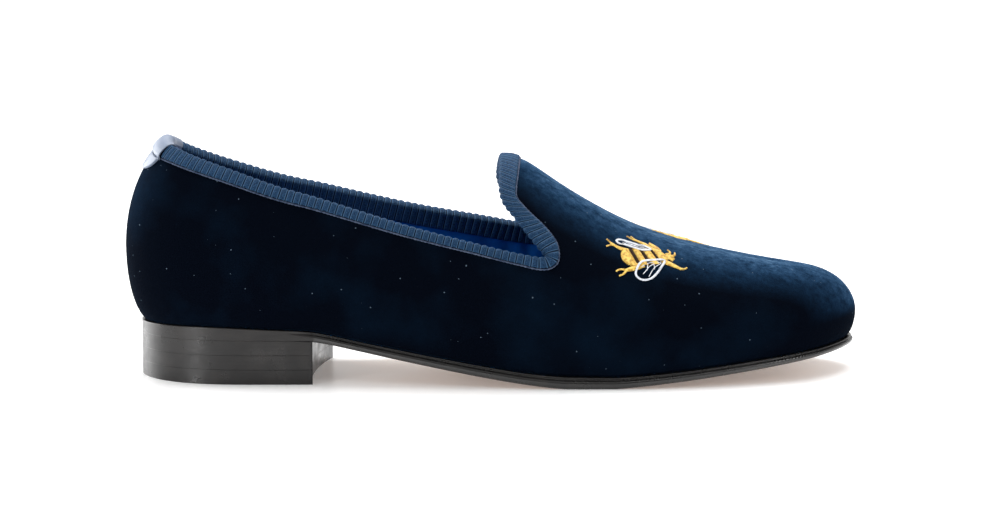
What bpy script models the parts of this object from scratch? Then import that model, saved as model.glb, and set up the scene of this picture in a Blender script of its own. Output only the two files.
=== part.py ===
"""Velvet slipper loafer, right shoe, women's size, built as a shoemaker would put it together.

The shoe stands on its heel and forefoot with the toe along +X, the medial side along +Y and +Z up.
The upper is one hollow shell over a last. Sole, insole, heel lifts, collar binding and heel tab are
separate solids that share the last's own functions. Tables are in millimetres, objects in metres.
"""

import bmesh
import bpy
import numpy as np

for leftover in list(bpy.data.objects):
    bpy.data.objects.remove(leftover)
SLIPPER = bpy.data.collections.new("velvet_slipper")
bpy.context.scene.collection.children.link(SLIPPER)

MM = 0.001

# Driving sizes, in millimetres
UPPER_WALL = 2.0  # velvet, interlining and lining together
SEAT_GAP = 0.3  # air left between pieces that touch
LINING_GAP = 0.45  # the same inside the wall, where the folded tapes lie on the lining
SEAT_HEIGHT = 15.3  # underside of the sole over the heel
BREAST_X = -62.8  # where the sole leaves the heel
TREAD_BACK_X = 24.3  # the forefoot stands flat from here
TREAD_FRONT_X = 40.8  # to here
TOE_TIP_X = 126.8
TOE_SPRING = 9.4
SHANK_POWER = 1.35
SPRING_POWER = 1.15
BREAST_BLEND = 0.05  # softness of the bend where the shank leaves the heel seat
INSOLE_THICKNESS = 2.2
INSOLE_INSET = 3.2

# The last, one row for each station from the heel back round one side to the toe tip:
# x, lateral and medial are the line where upper meets sole, overhang and belly are how far out and how
# high above it the upper is widest, crown is the ridge line over the foot (behind the throat it is the
# line where the last itself would close), shoulder makes a section boxy, sole is the sole's thickness.
LAST_COLUMNS = (
    "x", "lateral", "medial", "overhang", "belly",
    "crown_x", "crown_y", "crown_z", "shoulder", "sole",
)
LAST_ROWS = (
    (-123.1, 0.0, 0.0, 6.1, 25.2, -101.4, 0.0, 87.0, 0.00, 4.0),
    (-119.9, -11.0, 11.0, 5.9, 24.2, -100.7, 0.0, 87.0, 0.00, 4.1),
    (-110.2, -21.0, 21.0, 4.8, 21.5, -98.2, 0.0, 86.5, 0.00, 4.4),
    (-93.2, -26.6, 26.0, 3.8, 17.5, -88.2, 0.0, 85.5, 0.00, 4.4),
    (-67.2, -27.6, 25.2, 3.4, 14.0, -67.2, 0.2, 85.5, 0.00, 3.4),
    (-35.2, -30.2, 25.2, 3.4, 13.0, -35.2, 0.8, 84.0, 0.00, 3.5),
    (-5.2, -34.8, 31.4, 2.6, 12.0, -5.2, 1.6, 76.4, 0.00, 3.9),
    (9.8, -37.0, 35.6, 2.3, 11.5, 9.3, 2.0, 74.8, 0.00, 3.9),
    (24.8, -38.3, 38.6, 2.0, 11.0, 23.3, 2.4, 66.1, 0.00, 4.1),
    (52.8, -38.0, 39.8, 1.8, 10.0, 47.8, 3.2, 52.0, 0.01, 3.6),
    (78.8, -33.4, 37.2, 2.0, 9.0, 70.8, 3.8, 44.0, 0.03, 3.3),
    (100.6, -26.0, 31.2, 2.2, 8.5, 87.8, 4.0, 39.9, 0.04, 3.0),
    (115.8, -15.8, 22.2, 2.5, 8.5, 97.8, 4.0, 38.0, 0.04, 2.6),
    (126.8, 4.0, 4.0, 2.6, 8.5, 101.8, 4.0, 37.3, 0.04, 2.5),
)
LAST_STATION = len(LAST_ROWS) - 1
TUCK_ANGLE = np.radians(72)  # how far the upper curls under before it meets the sole

# How the upper's wall runs: each row is one line of the wall, from a foot on the sole's edge up to the
# topline or the ridge. Stations count LAST_ROWS. A share is the way up from widest line to ridge. Sweep
# is how much a line rises first and swings back late, which keeps the lines apart under the throat.
WALL_COLUMNS = ("foot", "top", "lateral_share", "medial_share", "sweep", "steps")
WALL_ROWS = (
    (0.00, 0.00, 0.700, 0.700, 0.0, 3),  # heel back
    (1.00, 1.00, 0.648, 0.662, 0.0, 3),
    (2.00, 2.00, 0.600, 0.585, 0.0, 2),
    (3.00, 3.00, 0.529, 0.502, 0.0, 3),
    (4.00, 4.00, 0.417, 0.412, 0.0, 3),
    (5.00, 5.00, 0.340, 0.361, 0.0, 3),
    (6.00, 6.00, 0.329, 0.372, 0.0, 2),
    (6.80, 6.80, 0.316, 0.358, 0.0, 2),
    (7.35, 7.33, 0.321, 0.365, 0.2, 2),
    (7.60, 7.62, 0.342, 0.386, 0.6, 2),  # corner of the collar
    (7.84, 7.63, 0.370, 0.410, 0.9, 2),
    (8.12, 7.42, 0.407, 0.443, 1.0, 1),
    (8.38, 7.07, 0.460, 0.489, 1.0, 2),
    (8.60, 6.73, 0.519, 0.543, 1.0, 1),
    (8.80, 6.52, 0.572, 0.593, 1.0, 1),  # side of the throat
    (8.98, 6.44, 0.640, 0.655, 0.9, 1),
    (9.16, 6.45, 0.740, 0.748, 0.8, 2),
    (9.40, 6.48, 0.865, 0.868, 0.6, 2),
    (9.75, 6.50, 1.000, 1.000, 0.5, 5),  # peak of the tongue
    (10.20, 7.50, 1.000, 1.000, 0.3, 3),
    (10.65, 8.60, 1.000, 1.000, 0.1, 2),
    (11.15, 9.75, 1.000, 1.000, 0.0, 2),
    (11.65, 10.90, 1.000, 1.000, 0.0, 2),
    (12.30, 12.05, 1.000, 1.000, 0.0, 2),
    (13.00, 13.00, 1.000, 1.000, 0.0, 0),  # toe tip
)
PEAK_ROW = 18
TUCK_STEPS = 3  # faces from the sole's edge up to the widest line
TUCK_WAY = 0.2  # their part of a line's lean
RISE_STEPS = 9  # and from there to the topline or ridge

# Collar binding, a ribbed tape folded over the topline, and the leather tab over its back. The tape is
# pulled to different widths on the velvet: each row is a row number of the wall and its depth there.
BINDING_COLUMNS = ("place", "depth")
BINDING_ROWS = (
    (1.35, 5.0),
    (3.00, 4.3),
    (4.60, 3.1),
    (5.60, 2.7),
    (7.00, 3.0),
    (8.60, 3.9),
    (9.60, 4.0),
    (10.60, 5.1),
    (11.50, 5.1),
    (12.50, 3.9),
    (13.50, 3.6),
    (15.00, 4.8),
    (18.00, 6.2),
)
BINDING_LINING_DEPTH = 6.0
BINDING_THICKNESS = 0.8
TAB_END_STATION = 1.35
TAB_BAND_DEPTH = 5.4
TAB_BAND_THICKNESS = 1.5
TAB_PATCH_THICKNESS = 0.6
TAB_PATCH_DEPTH = 14.0  # at the heel's centre line
TAB_PATCH_END_DEPTH = 5.8
TAB_PATCH_STATION = 1.24  # half an ellipse ends here
TAB_LINING_DEPTH = 8.0

# Edge of the sole: how far each point stands beyond the upper's line and how deep it lies, as a share
# of the sole's thickness. The small step under the top lip is the welt line that a wheel presses in.
SOLE_LEDGE_FRONT = 1.7
SOLE_LEDGE_WAIST = 0.5
SOLE_LEDGE_HEEL = 0.9
EDGE_COLUMNS = ("out", "depth")
EDGE_ROWS = (
    (-0.45, 0.00),
    (0.00, 0.10),
    (0.00, 0.30),
    (-0.40, 0.37),
    (0.10, 0.46),
    (0.10, 0.72),
    (-0.70, 1.00),
)

# Heel: three lifts of leather, the lowest is the top piece that meets the ground
TOP_PIECE_HEIGHT = 5.0
LIFT_SEAM_HEIGHT = 10.0
HEEL_STATION = 4.24  # the lifts follow the sole's outline round to here on each side
BREAST_SKEW = 5.0  # the medial corner stands this much further forward
BREAST_HOLLOW = 2.6


def column(columns, rows, name):
    """One named column of a table as an array."""
    return np.array([row[columns.index(name)] for row in rows], float)


def round_the_last(name, medial_name=None):
    """A closed list of one column: along the lateral side to the toe, then back along the medial."""
    lateral = column(LAST_COLUMNS, LAST_ROWS, name)
    medial = column(LAST_COLUMNS, LAST_ROWS, medial_name or name)
    return np.concatenate([lateral, medial[-2:0:-1]])


def closed_spline(knots):
    """A smooth closed curve through equally spaced knots: cubics whose slopes keep it evenly bent."""
    count = len(knots)
    ring = np.eye(count)
    system = 4 * ring + np.roll(ring, 1, axis=0) + np.roll(ring, -1, axis=0)
    slopes = np.linalg.solve(system, 3 * (np.roll(knots, -1) - np.roll(knots, 1)))

    def at(station):
        k = np.floor(station).astype(int)
        t = station - k
        a, b = knots[k % count], knots[(k + 1) % count]
        slope_a, slope_b = slopes[k % count], slopes[(k + 1) % count]
        return (
            a * (1 + 2 * t) * (1 - t) ** 2
            + slope_a * t * (1 - t) ** 2
            + b * (3 - 2 * t) * t**2
            - slope_b * (1 - t) * t**2
        )

    return at


LINES = {name: closed_spline(round_the_last(name)) for name in LAST_COLUMNS}
LINES["side"] = closed_spline(round_the_last("lateral", "medial"))


def sole_bottom(x):
    """Height of the sole's underside: level at the heel, down the shank, flat under the ball, and up
    again at the toe."""
    along = (x - BREAST_X) / (TREAD_BACK_X - BREAST_X)
    along = np.clip((along + np.sqrt(along**2 + BREAST_BLEND**2)) / 2, 0, None)
    shank = SEAT_HEIGHT * np.clip(1 - along, 0, None) ** SHANK_POWER
    shank = np.where(x >= TREAD_BACK_X, 0, shank)
    spring = np.clip((x - TREAD_FRONT_X) / (TOE_TIP_X - TREAD_FRONT_X), 0, None)
    return shank + TOE_SPRING * spring**SPRING_POWER


def feather_line(station):
    """Points where the upper meets the sole's top face. Negative stations run along the medial side."""
    x = LINES["x"](station)
    return np.stack([x, LINES["side"](station), sole_bottom(x) + LINES["sole"](station)], axis=-1)


def unit(vectors):
    """Vectors scaled to length one."""
    return vectors / np.linalg.norm(vectors, axis=-1, keepdims=True)


def last_surface(station, share):
    """Points on the upper's outside. Share runs from -1 at the sole's edge, through 0 at the widest
    line, to 1 on the ridge, and past 1 down the other side. Below the widest line the section is part
    of an ellipse that curls under, above it a quarter ellipse that ends level on the ridge."""
    station, share = np.broadcast_arrays(np.asarray(station, float), np.asarray(share, float))
    over = share > 1
    station = np.where(over, -station, station)
    share = np.where(over, 2 - share, share)
    foot = feather_line(station)
    crown = np.stack([LINES["crown_x"](station), LINES["crown_y"](station)], axis=-1)
    outward = unit(foot[..., :2] - crown)
    overhang, belly = LINES["overhang"](station), LINES["belly"](station)
    widest = foot[..., :2] + outward * overhang[..., None]
    widest_z = foot[..., 2] + belly
    curl = np.clip(-share, 0, None) * TUCK_ANGLE
    tuck = overhang * (1 - np.cos(curl)) / (1 - np.cos(TUCK_ANGLE))
    drop = belly * np.sin(curl) / np.sin(TUCK_ANGLE)
    rise = np.clip(share, 0, None) * np.pi / 2
    inward = (1 - np.cos(rise))[..., None] * (crown - widest)
    height = np.sin(rise) + LINES["shoulder"](station) * np.sin(2 * rise) ** 2
    plan = widest - outward * tuck[..., None] + inward
    z = widest_z - drop + height * (LINES["crown_z"](station) - widest_z)
    return np.concatenate([plan, z[..., None]], axis=-1)


def surface_slopes(station, share, step=1e-4):
    """How the surface point moves for a unit of station and of share, by central differences."""
    along = last_surface(station + step, share) - last_surface(station - step, share)
    up = last_surface(station, share + step) - last_surface(station, share - step)
    return along / (2 * step), up / (2 * step)


def surface_normal(station, share):
    """Unit normals of the upper's outside, pointing out."""
    along, up = surface_slopes(station, share)
    return unit(np.cross(along, up))


def slide_on_surface(station, share, target, rounds=3):
    """The station and share of the surface points nearest to target, by Newton steps in the tangent
    plane."""
    for _ in range(rounds):
        along, up = surface_slopes(station, share)
        miss = target - last_surface(station, share)
        aa, au, uu = (along * along).sum(-1), (along * up).sum(-1), (up * up).sum(-1)
        ma, mu = (miss * along).sum(-1), (miss * up).sum(-1)
        det = aa * uu - au**2
        station = station + (ma * uu - mu * au) / det
        share = share + (mu * aa - ma * au) / det
    return station, share


def row_curve(name, place):
    """A column of WALL_ROWS at fractional row numbers, on a smooth curve through every row. The curve
    may bend sharply only at the tongue's peak, where the wall's top edge turns from throat to ridge."""
    values = column(WALL_COLUMNS, WALL_ROWS, name)
    last = len(values) - 1
    k = np.clip(np.floor(place).astype(int), 0, last - 1)
    t = place - k
    a, b = values[k], values[k + 1]
    before, after = values[np.clip(k - 1, 0, last)], values[np.clip(k + 2, 0, last)]
    slope_a = np.where(k == PEAK_ROW, b - a, (b - before) / 2)
    slope_b = np.where(k + 1 == PEAK_ROW, b - a, (after - a) / 2)
    return (
        a * (1 + 2 * t) * (1 - t) ** 2
        + slope_a * t * (1 - t) ** 2
        + b * (3 - 2 * t) * t**2
        - slope_b * (1 - t) * t**2
    )


def wall_places():
    """Fractional row numbers of the wall's lines, with each row's own number of steps to the next."""
    steps = column(WALL_COLUMNS, WALL_ROWS, "steps").astype(int)
    inner = [row + step / count for row, count in enumerate(steps) for step in range(count)]
    return np.array(inner + [len(WALL_ROWS) - 1.0])


def wall_line(place, medial):
    """Station and share along one side's wall lines, each an array of lines by points."""
    foot, top, sweep = [row_curve(name, place)[:, None] for name in ("foot", "top", "sweep")]
    top_share = row_curve("medial_share" if medial else "lateral_share", place)[:, None]
    tuck = np.linspace(-1, 0, TUCK_STEPS + 1)[None, :-1]
    rise = np.linspace(0, 1, RISE_STEPS + 1)[None, :]
    climb = rise + sweep * rise * (1 - rise)
    share = np.concatenate([tuck * np.ones_like(foot), climb * np.minimum(top_share, 1)], axis=1)
    way = np.concatenate([(tuck + 1) * TUCK_WAY, TUCK_WAY + (1 - TUCK_WAY) * rise], axis=1)
    lean = (1 - sweep) * way**2 * (3 - 2 * way) + sweep * way**3
    return (-1 if medial else 1) * (foot + (top - foot) * lean), share


def make_object(name, points, faces, surface, closed=True):
    """A mesh object from points in millimetres, its doubles merged and, if closed, its faces turned
    outwards. An open shell keeps the side its faces were given."""
    mesh = bpy.data.meshes.new(name)
    mesh.from_pydata((np.asarray(points) * MM).tolist(), [], faces)
    work = bmesh.new()
    work.from_mesh(mesh)
    bmesh.ops.remove_doubles(work, verts=work.verts, dist=1e-6)
    if closed:
        bmesh.ops.recalc_face_normals(work, faces=work.faces)
    work.to_mesh(mesh)
    work.free()
    mesh.materials.append(surface)
    mesh.shade_smooth()
    shape = bpy.data.objects.new(name, mesh)
    SLIPPER.objects.link(shape)
    return shape


def grid_faces(rows, columns, close_rows=False, close_columns=False):
    """Quads of a grid of points numbered row by row, joined end to end where asked."""
    faces = []
    for i in range(rows if close_rows else rows - 1):
        for j in range(columns if close_columns else columns - 1):
            i_next, j_next = (i + 1) % rows, (j + 1) % columns
            low, high = i * columns, i_next * columns
            faces.append((low + j, high + j, high + j_next, low + j_next))
    return faces


def material(name, colour, roughness, metallic=0.0, sheen=0.0):
    """A Principled material."""
    made = bpy.data.materials.new(name)
    made.use_nodes = True
    shader = made.node_tree.nodes["Principled BSDF"]
    shader.inputs["Base Color"].default_value = (*colour, 1.0)
    shader.inputs["Roughness"].default_value = roughness
    shader.inputs["Metallic"].default_value = metallic
    shader.inputs["Sheen Weight"].default_value = sheen
    return made


def build_upper(velvet):
    """The hollow upper: an open surface over the last, from the sole's edge to topline and ridge, which
    a Solidify modifier gives its wall on the inside."""
    place = wall_places()
    lateral = last_surface(*wall_line(place, medial=False))
    medial = last_surface(*wall_line(place, medial=True))
    lines = np.concatenate([lateral, medial[-2:0:-1]])
    lines[..., 2] += SEAT_GAP
    faces = grid_faces(lines.shape[0], lines.shape[1], close_rows=True)
    upper = make_object("upper", lines.reshape(-1, 3), faces, velvet, closed=False)
    wall = upper.modifiers.new("wall", "SOLIDIFY")
    wall.thickness = UPPER_WALL * MM
    wall.offset = -1
    return upper


def outline_stations(count):
    """Evenly spaced stations once round the last, from the heel back by the lateral side."""
    return np.arange(count) / count * 2 * LAST_STATION


def outset_line(station, out):
    """The feather line moved outwards in plan by the given distance."""
    step = 1e-3
    line = feather_line(station)
    along = feather_line(station + step) - feather_line(station - step)
    outward = unit(np.stack([along[..., 1], -along[..., 0]], axis=-1))
    moved = line.copy()
    moved[..., :2] += outward * np.asarray(out)[..., None]
    return moved


def sole_ledge(station):
    """How far the sole stands out beyond the upper's line, and how much a station belongs to the heel:
    close at the waist, a lip in front, and flush with the lifts behind the breast."""
    x = LINES["x"](station)
    front = np.clip((x + 30) / 60, 0, 1)
    back = np.clip((BREAST_X + 10 - x) / 20, 0, 1)
    ease_front, ease_back = front**2 * (3 - 2 * front), back**2 * (3 - 2 * back)
    waist_to_front = SOLE_LEDGE_WAIST + (SOLE_LEDGE_FRONT - SOLE_LEDGE_WAIST) * ease_front
    return waist_to_front + (SOLE_LEDGE_HEEL - SOLE_LEDGE_WAIST) * ease_back, ease_back


def capped_plate(loops):
    """Points and faces of a plate from closed loops stacked top to bottom. Each cap joins the lateral
    point of a loop to the medial point across from it, so it follows the plate's bend."""
    count = loops.shape[1]
    faces = grid_faces(loops.shape[0], count, close_columns=True)
    for loop in (0, loops.shape[0] - 1):
        base = loop * count
        for k in range(count // 2):
            across = [base + k, base + k + 1, base + (count - k - 1) % count, base + (count - k) % count]
            faces.append(tuple(dict.fromkeys(across)))
    return loops.reshape(-1, 3), faces


def build_outsole(leather, points_around=104):
    """The leather outsole with its stepped edge. Over the heel the edge is square and flush with the
    lifts."""
    station = outline_stations(points_around)
    ledge, at_heel = sole_ledge(station)
    loops = []
    thickness = feather_line(station)[..., 2] - sole_bottom(LINES["x"](station))
    edge_out = column(EDGE_COLUMNS, EDGE_ROWS, "out")
    edge_depth = column(EDGE_COLUMNS, EDGE_ROWS, "depth")
    for out, depth in zip(edge_out, edge_depth):
        loop = outset_line(station, ledge + out * (1 - at_heel))
        loop[..., 2] -= depth * thickness
        if depth == 1.0:
            loop[..., 2] = sole_bottom(loop[..., 0])
        loops.append(loop)
    points, faces = capped_plate(np.array(loops))
    return make_object("outsole", points, faces, leather)


def build_insole(sock, points_around=64):
    """The covered insole board that lies on the outsole inside the upper."""
    station = outline_stations(points_around)
    bottom = outset_line(station, np.full(points_around, -INSOLE_INSET))
    bottom[..., 2] += SEAT_GAP
    top = bottom.copy()
    top[..., 2] += INSOLE_THICKNESS
    points, faces = capped_plate(np.array([top, bottom]))
    return make_object("insole", points, faces, sock)


def heel_outline(side_steps=20, breast_steps=8):
    """Plan of the heel and how many of its points follow the sole's outline: round the back from the
    lateral to the medial corner. The rest are the hollow breast in front."""
    station = np.linspace(HEEL_STATION, -HEEL_STATION, 2 * side_steps + 1)
    ledge, _ = sole_ledge(station)
    sides = outset_line(station, ledge)[..., :2]
    sides[0, 0] = BREAST_X
    sides[-1, 0] = BREAST_X + BREAST_SKEW
    across = np.linspace(0, 1, breast_steps + 2)[1:-1, None]
    breast = sides[-1] + (sides[0] - sides[-1]) * across
    breast[:, 0] -= 4 * BREAST_HOLLOW * (across * (1 - across))[:, 0]
    return np.concatenate([sides, breast]), len(sides)


def build_lift(name, leather, low, high):
    """One lift of the heel between two heights, each a number or a function of x."""
    plan, arc = heel_outline()
    count = len(plan)
    levels = []
    for height in (high, low):
        z = height(plan[:, 0]) if callable(height) else np.full(count, height)
        levels.append(np.column_stack([plan, z]))
    faces = grid_faces(2, count, close_columns=True)
    for base in (0, count):
        for k in range(arc // 2):
            across = [base + k, base + k + 1, base + arc - 2 - k, base + arc - 1 - k]
            faces.append(tuple(dict.fromkeys(across)))
        faces.append(tuple(base + j for j in [0, *range(count - 1, arc - 2, -1)]))
    return make_object(name, np.concatenate(levels), faces, leather)


def smooth_curve(knots, values, at):
    """Values at places between knots, on cubics whose slope at a knot comes from its neighbours."""
    slopes = np.gradient(values, knots)
    k = np.clip(np.searchsorted(knots, at, side="right") - 1, 0, len(knots) - 2)
    span = knots[k + 1] - knots[k]
    t = np.clip((at - knots[k]) / span, 0, 1)
    return (
        values[k] * (1 + 2 * t) * (1 - t) ** 2
        + slopes[k] * span * t * (1 - t) ** 2
        + values[k + 1] * (3 - 2 * t) * t**2
        - slopes[k + 1] * span * (1 - t) * t**2
    )


def topline(place, medial):
    """Station and share of the topline at fractional rows."""
    share = np.minimum(row_curve("medial_share" if medial else "lateral_share", place), 1)
    return (-1 if medial else 1) * row_curve("top", place), share


def tape_sections(station, share, corners):
    """Cross-sections of a tape folded over the topline. Each corner is its distance down from the rim
    and its distance out from the upper's outside, and both may change along the tape."""
    rim = last_surface(station, share)
    path = np.gradient(rim, axis=0)
    normal = surface_normal(station, share)
    down = unit(np.cross(path, normal))
    sections = []
    for depth, out in corners:
        depth = np.broadcast_to(depth, station.shape)[:, None]
        out = np.broadcast_to(out, station.shape)[:, None]
        on = slide_on_surface(station, share, rim + np.maximum(depth, 0) * down)
        point = last_surface(*on) + surface_normal(*on) * out + np.minimum(depth, 0) * down
        point[:, 2] += SEAT_GAP
        sections.append(point)
    return np.stack(sections, axis=1)


def build_tape(name, cloth, station, share, corners):
    """A solid from cross-sections, closed by a cap at each end."""
    sections = tape_sections(station, share, corners)
    rows, columns = sections.shape[:2]
    faces = grid_faces(rows, columns, close_columns=True)
    half = columns // 2
    for base in (0, (rows - 1) * columns):
        for k in range(half - 1):
            faces.append((base + k, base + k + 1, base + columns - 2 - k, base + columns - 1 - k))
    return make_object(name, sections.reshape(-1, 3), faces, cloth)


def fold_corners(outer_depth, band_depth, inner_depth, band, patch, inner):
    """Corners of a folded tape: up its outer face, over the rim, down the lining, and back inside it."""
    inside = -UPPER_WALL - LINING_GAP
    over = -SEAT_GAP
    outer_face = [
        (outer_depth, SEAT_GAP + patch), (band_depth, SEAT_GAP + band),
        (band_depth / 2, SEAT_GAP + band), (0.0, SEAT_GAP + band),
        (over - band * 0.7, SEAT_GAP + band * 0.2),
    ]
    rim_and_lining = [
        (over - inner, inside / 2), (over - inner * 0.7, inside - inner * 0.2),
        (0.0, inside - inner), (inner_depth, inside - inner),
    ]
    channel_inside = [
        (inner_depth, inside), (0.0, inside), (over, inside),
        (over, inside / 2), (over, SEAT_GAP), (0.0, SEAT_GAP),
        (band_depth / 2, SEAT_GAP), (band_depth, SEAT_GAP), (outer_depth, SEAT_GAP),
    ]
    return outer_face + rim_and_lining + channel_inside


def build_binding(tape):
    """The ribbed tape, one length from the tab round the throat and back to the tab."""
    place = wall_places()
    beyond_tab = place[(place > TAB_END_STATION + 0.1) & (place <= PEAK_ROW)]
    place = np.concatenate([[TAB_END_STATION], beyond_tab])
    lateral, medial = topline(place, False), topline(place, True)
    station = np.concatenate([lateral[0], medial[0][-2::-1]])
    share = np.concatenate([lateral[1], medial[1][-2::-1]])
    depth = smooth_curve(
        column(BINDING_COLUMNS, BINDING_ROWS, "place"), column(BINDING_COLUMNS, BINDING_ROWS, "depth"), place
    )
    depth = np.concatenate([depth, depth[-2::-1]])
    corners = fold_corners(
        depth, depth * 0.66, BINDING_LINING_DEPTH,
        BINDING_THICKNESS, BINDING_THICKNESS, BINDING_THICKNESS,
    )
    return build_tape("collar_binding", tape, station, share, corners)


def build_tab(leather):
    """The heel tab: a leather band over the back of the rim with a rounded patch below it."""
    reach = TAB_END_STATION - 0.03
    half = wall_places()
    half = np.append(half[half < TAB_PATCH_STATION - 0.1], [TAB_PATCH_STATION, reach])
    place = np.concatenate([-half[:0:-1], half])
    share = np.concatenate([topline(half, True)[1][:0:-1], topline(half, False)[1]])
    arch = np.sqrt(np.clip(1 - (place / TAB_PATCH_STATION) ** 2, 0, 1))
    patch_depth = TAB_PATCH_END_DEPTH + (TAB_PATCH_DEPTH - TAB_PATCH_END_DEPTH) * arch
    corners = fold_corners(
        patch_depth, TAB_BAND_DEPTH, TAB_LINING_DEPTH,
        TAB_BAND_THICKNESS, TAB_PATCH_THICKNESS, TAB_BAND_THICKNESS,
    )
    return build_tape("heel_tab", leather, place, share, corners)


NAVY_VELVET = material("navy_velvet", (0.006, 0.014, 0.040), 0.9, sheen=0.6)
RIBBED_TAPE = material("ribbed_tape", (0.030, 0.060, 0.120), 0.7)
BLUE_SOCK = material("blue_sock", (0.010, 0.060, 0.260), 0.5)
TAB_LEATHER = material("tab_leather", (0.070, 0.100, 0.180), 0.25)
SOLE_LEATHER = material("sole_leather", (0.020, 0.018, 0.018), 0.35)
HEEL_LEATHER = material("heel_leather", (0.020, 0.018, 0.018), 0.35)

build_upper(NAVY_VELVET)
build_outsole(SOLE_LEATHER)
build_insole(BLUE_SOCK)
build_lift("heel_top_piece", HEEL_LEATHER, 0.0, TOP_PIECE_HEIGHT)
build_lift("heel_lift", HEEL_LEATHER, TOP_PIECE_HEIGHT + SEAT_GAP, LIFT_SEAM_HEIGHT)
build_lift(
    "heel_seat_lift", HEEL_LEATHER, LIFT_SEAM_HEIGHT + SEAT_GAP, lambda x: sole_bottom(x) - SEAT_GAP
)
build_binding(RIBBED_TAPE)
build_tab(TAB_LEATHER)
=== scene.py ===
import bmesh
import bpy
import numpy as np
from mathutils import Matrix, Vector


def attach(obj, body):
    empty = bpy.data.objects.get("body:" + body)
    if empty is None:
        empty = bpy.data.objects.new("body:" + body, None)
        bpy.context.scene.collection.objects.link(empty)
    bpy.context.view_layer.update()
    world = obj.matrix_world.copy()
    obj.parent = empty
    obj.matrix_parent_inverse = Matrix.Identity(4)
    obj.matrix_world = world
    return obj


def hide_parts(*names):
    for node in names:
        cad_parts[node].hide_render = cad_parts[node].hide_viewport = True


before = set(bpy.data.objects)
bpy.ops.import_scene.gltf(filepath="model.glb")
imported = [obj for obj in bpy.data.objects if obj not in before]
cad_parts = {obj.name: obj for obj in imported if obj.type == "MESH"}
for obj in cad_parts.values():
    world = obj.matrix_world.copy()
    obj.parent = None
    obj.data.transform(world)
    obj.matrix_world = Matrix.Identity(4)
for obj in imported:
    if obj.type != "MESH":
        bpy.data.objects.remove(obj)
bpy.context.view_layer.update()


# Camera: a long lens square to the shoe's outer side, a little above the collar, as a product
# photographer sets it. The shift puts the shoe where the photograph frames it.
MM = 0.001
LOOK_AT = np.array([0.0, 0.0, 44.5])
CAMERA_AWAY = 900.0
CAMERA_HEIGHT = 164.0
CAMERA_YAW = np.radians(-1.5)
FRAME_WIDTH = 1000
FRAME_HEIGHT = 517
PIXEL_SIZE = 0.3534  # millimetres at the shoe's middle
LOOK_AT_PIXEL = (493.15, 245.0)
eye = np.array([np.sin(CAMERA_YAW) * CAMERA_AWAY, -np.cos(CAMERA_YAW) * CAMERA_AWAY, CAMERA_HEIGHT])
lens = bpy.data.cameras.new("studio_camera")
lens.sensor_width = 36.0
lens.lens = np.linalg.norm(LOOK_AT - eye) / PIXEL_SIZE / FRAME_WIDTH * lens.sensor_width
lens.shift_x = (FRAME_WIDTH / 2 - LOOK_AT_PIXEL[0]) / FRAME_WIDTH
lens.shift_y = (LOOK_AT_PIXEL[1] - FRAME_HEIGHT / 2) / FRAME_WIDTH
lens.clip_start = 0.01
camera = bpy.data.objects.new("studio_camera", lens)
bpy.context.scene.collection.objects.link(camera)
camera.location = eye * MM
camera.rotation_euler = Vector(LOOK_AT - eye).to_track_quat("-Z", "Y").to_euler()
bpy.context.scene.camera = camera
bpy.context.scene.view_settings.view_transform = "Standard"


# Studio: a white sweep under soft boxes. The room is white to the camera. To the shoe it is white above
# and behind and dim on the camera's side, so that the nap stays dark there and lights up on its crest.
def give(tree, node, values):
    """A node whose inputs, by name or number, take values or other nodes' outputs."""
    for name, value in values.items():
        if isinstance(value, bpy.types.NodeSocket):
            tree.links.new(value, node.inputs[name])
        else:
            node.inputs[name].default_value = value
    return node


def add_node(tree, kind, inputs=None, **settings):
    """A new shader node with its settings and inputs."""
    made = tree.nodes.new("ShaderNode" + kind)
    for name, value in settings.items():
        setattr(made, name, value)
    return give(tree, made, inputs or {})


def spread(tree, value, low, high, to=(0.0, 1.0), **settings):
    """A value stretched from one range to another and held at the ends."""
    limits = {"Value": value, "From Min": low, "From Max": high, "To Min": to[0], "To Max": to[1]}
    return add_node(tree, "MapRange", limits, **settings).outputs["Result"]


def soft_box(name, place, look, width, height, power):
    """A rectangular area light, its place and the point it faces given in metres."""
    light = bpy.data.lights.new(name, "AREA")
    light.shape = "RECTANGLE"
    light.size, light.size_y = width, height
    light.energy = power
    box = bpy.data.objects.new(name, light)
    bpy.context.scene.collection.objects.link(box)
    box.location = place
    box.rotation_euler = (Vector(look) - box.location).to_track_quat("-Z", "Y").to_euler()


room = bpy.data.worlds.new("studio_room")
bpy.context.scene.world = room
room.use_nodes = True
room_tree = room.node_tree
room_tree.nodes.clear()
where = add_node(room_tree, "TexCoord").outputs["Generated"]
up_and_back = add_node(room_tree, "VectorMath", {0: where, 1: (-0.25, 0.9, 0.9)}, operation="DOT_PRODUCT")
upness = up_and_back.outputs["Value"]
ceiling = spread(room_tree, upness, -0.35, 0.45, (0.24, 1.0), interpolation_type="SMOOTHSTEP")
glow = add_node(room_tree, "Background", {"Strength": ceiling})
white = add_node(room_tree, "Background", {"Color": (1, 1, 1, 1), "Strength": 1.0})
seen = add_node(room_tree, "LightPath").outputs["Is Camera Ray"]
mixed = add_node(room_tree, "MixShader", {"Fac": seen, 1: glow.outputs[0], 2: white.outputs[0]})
add_node(room_tree, "OutputWorld", {"Surface": mixed.outputs[0]})

# The strip glints down the heel's side, and the toe box lifts the toe's top out of the dark.
soft_box("top_box", (0.05, 0.25, 0.95), (0.0, 0.0, 0.04), 0.9, 0.7, 14.0)
soft_box("heel_box", (-0.75, 0.40, 0.25), (-0.1, 0.0, 0.05), 0.55, 0.5, 5.5)
soft_box("strip_box", (-0.70, -0.66, 0.22), (-0.106, -0.02, 0.02), 0.05, 0.5, 2.6)
soft_box("toe_box", (0.75, -0.55, 0.50), (0.05, 0.0, 0.02), 0.20, 0.30, 1.6)

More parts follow.
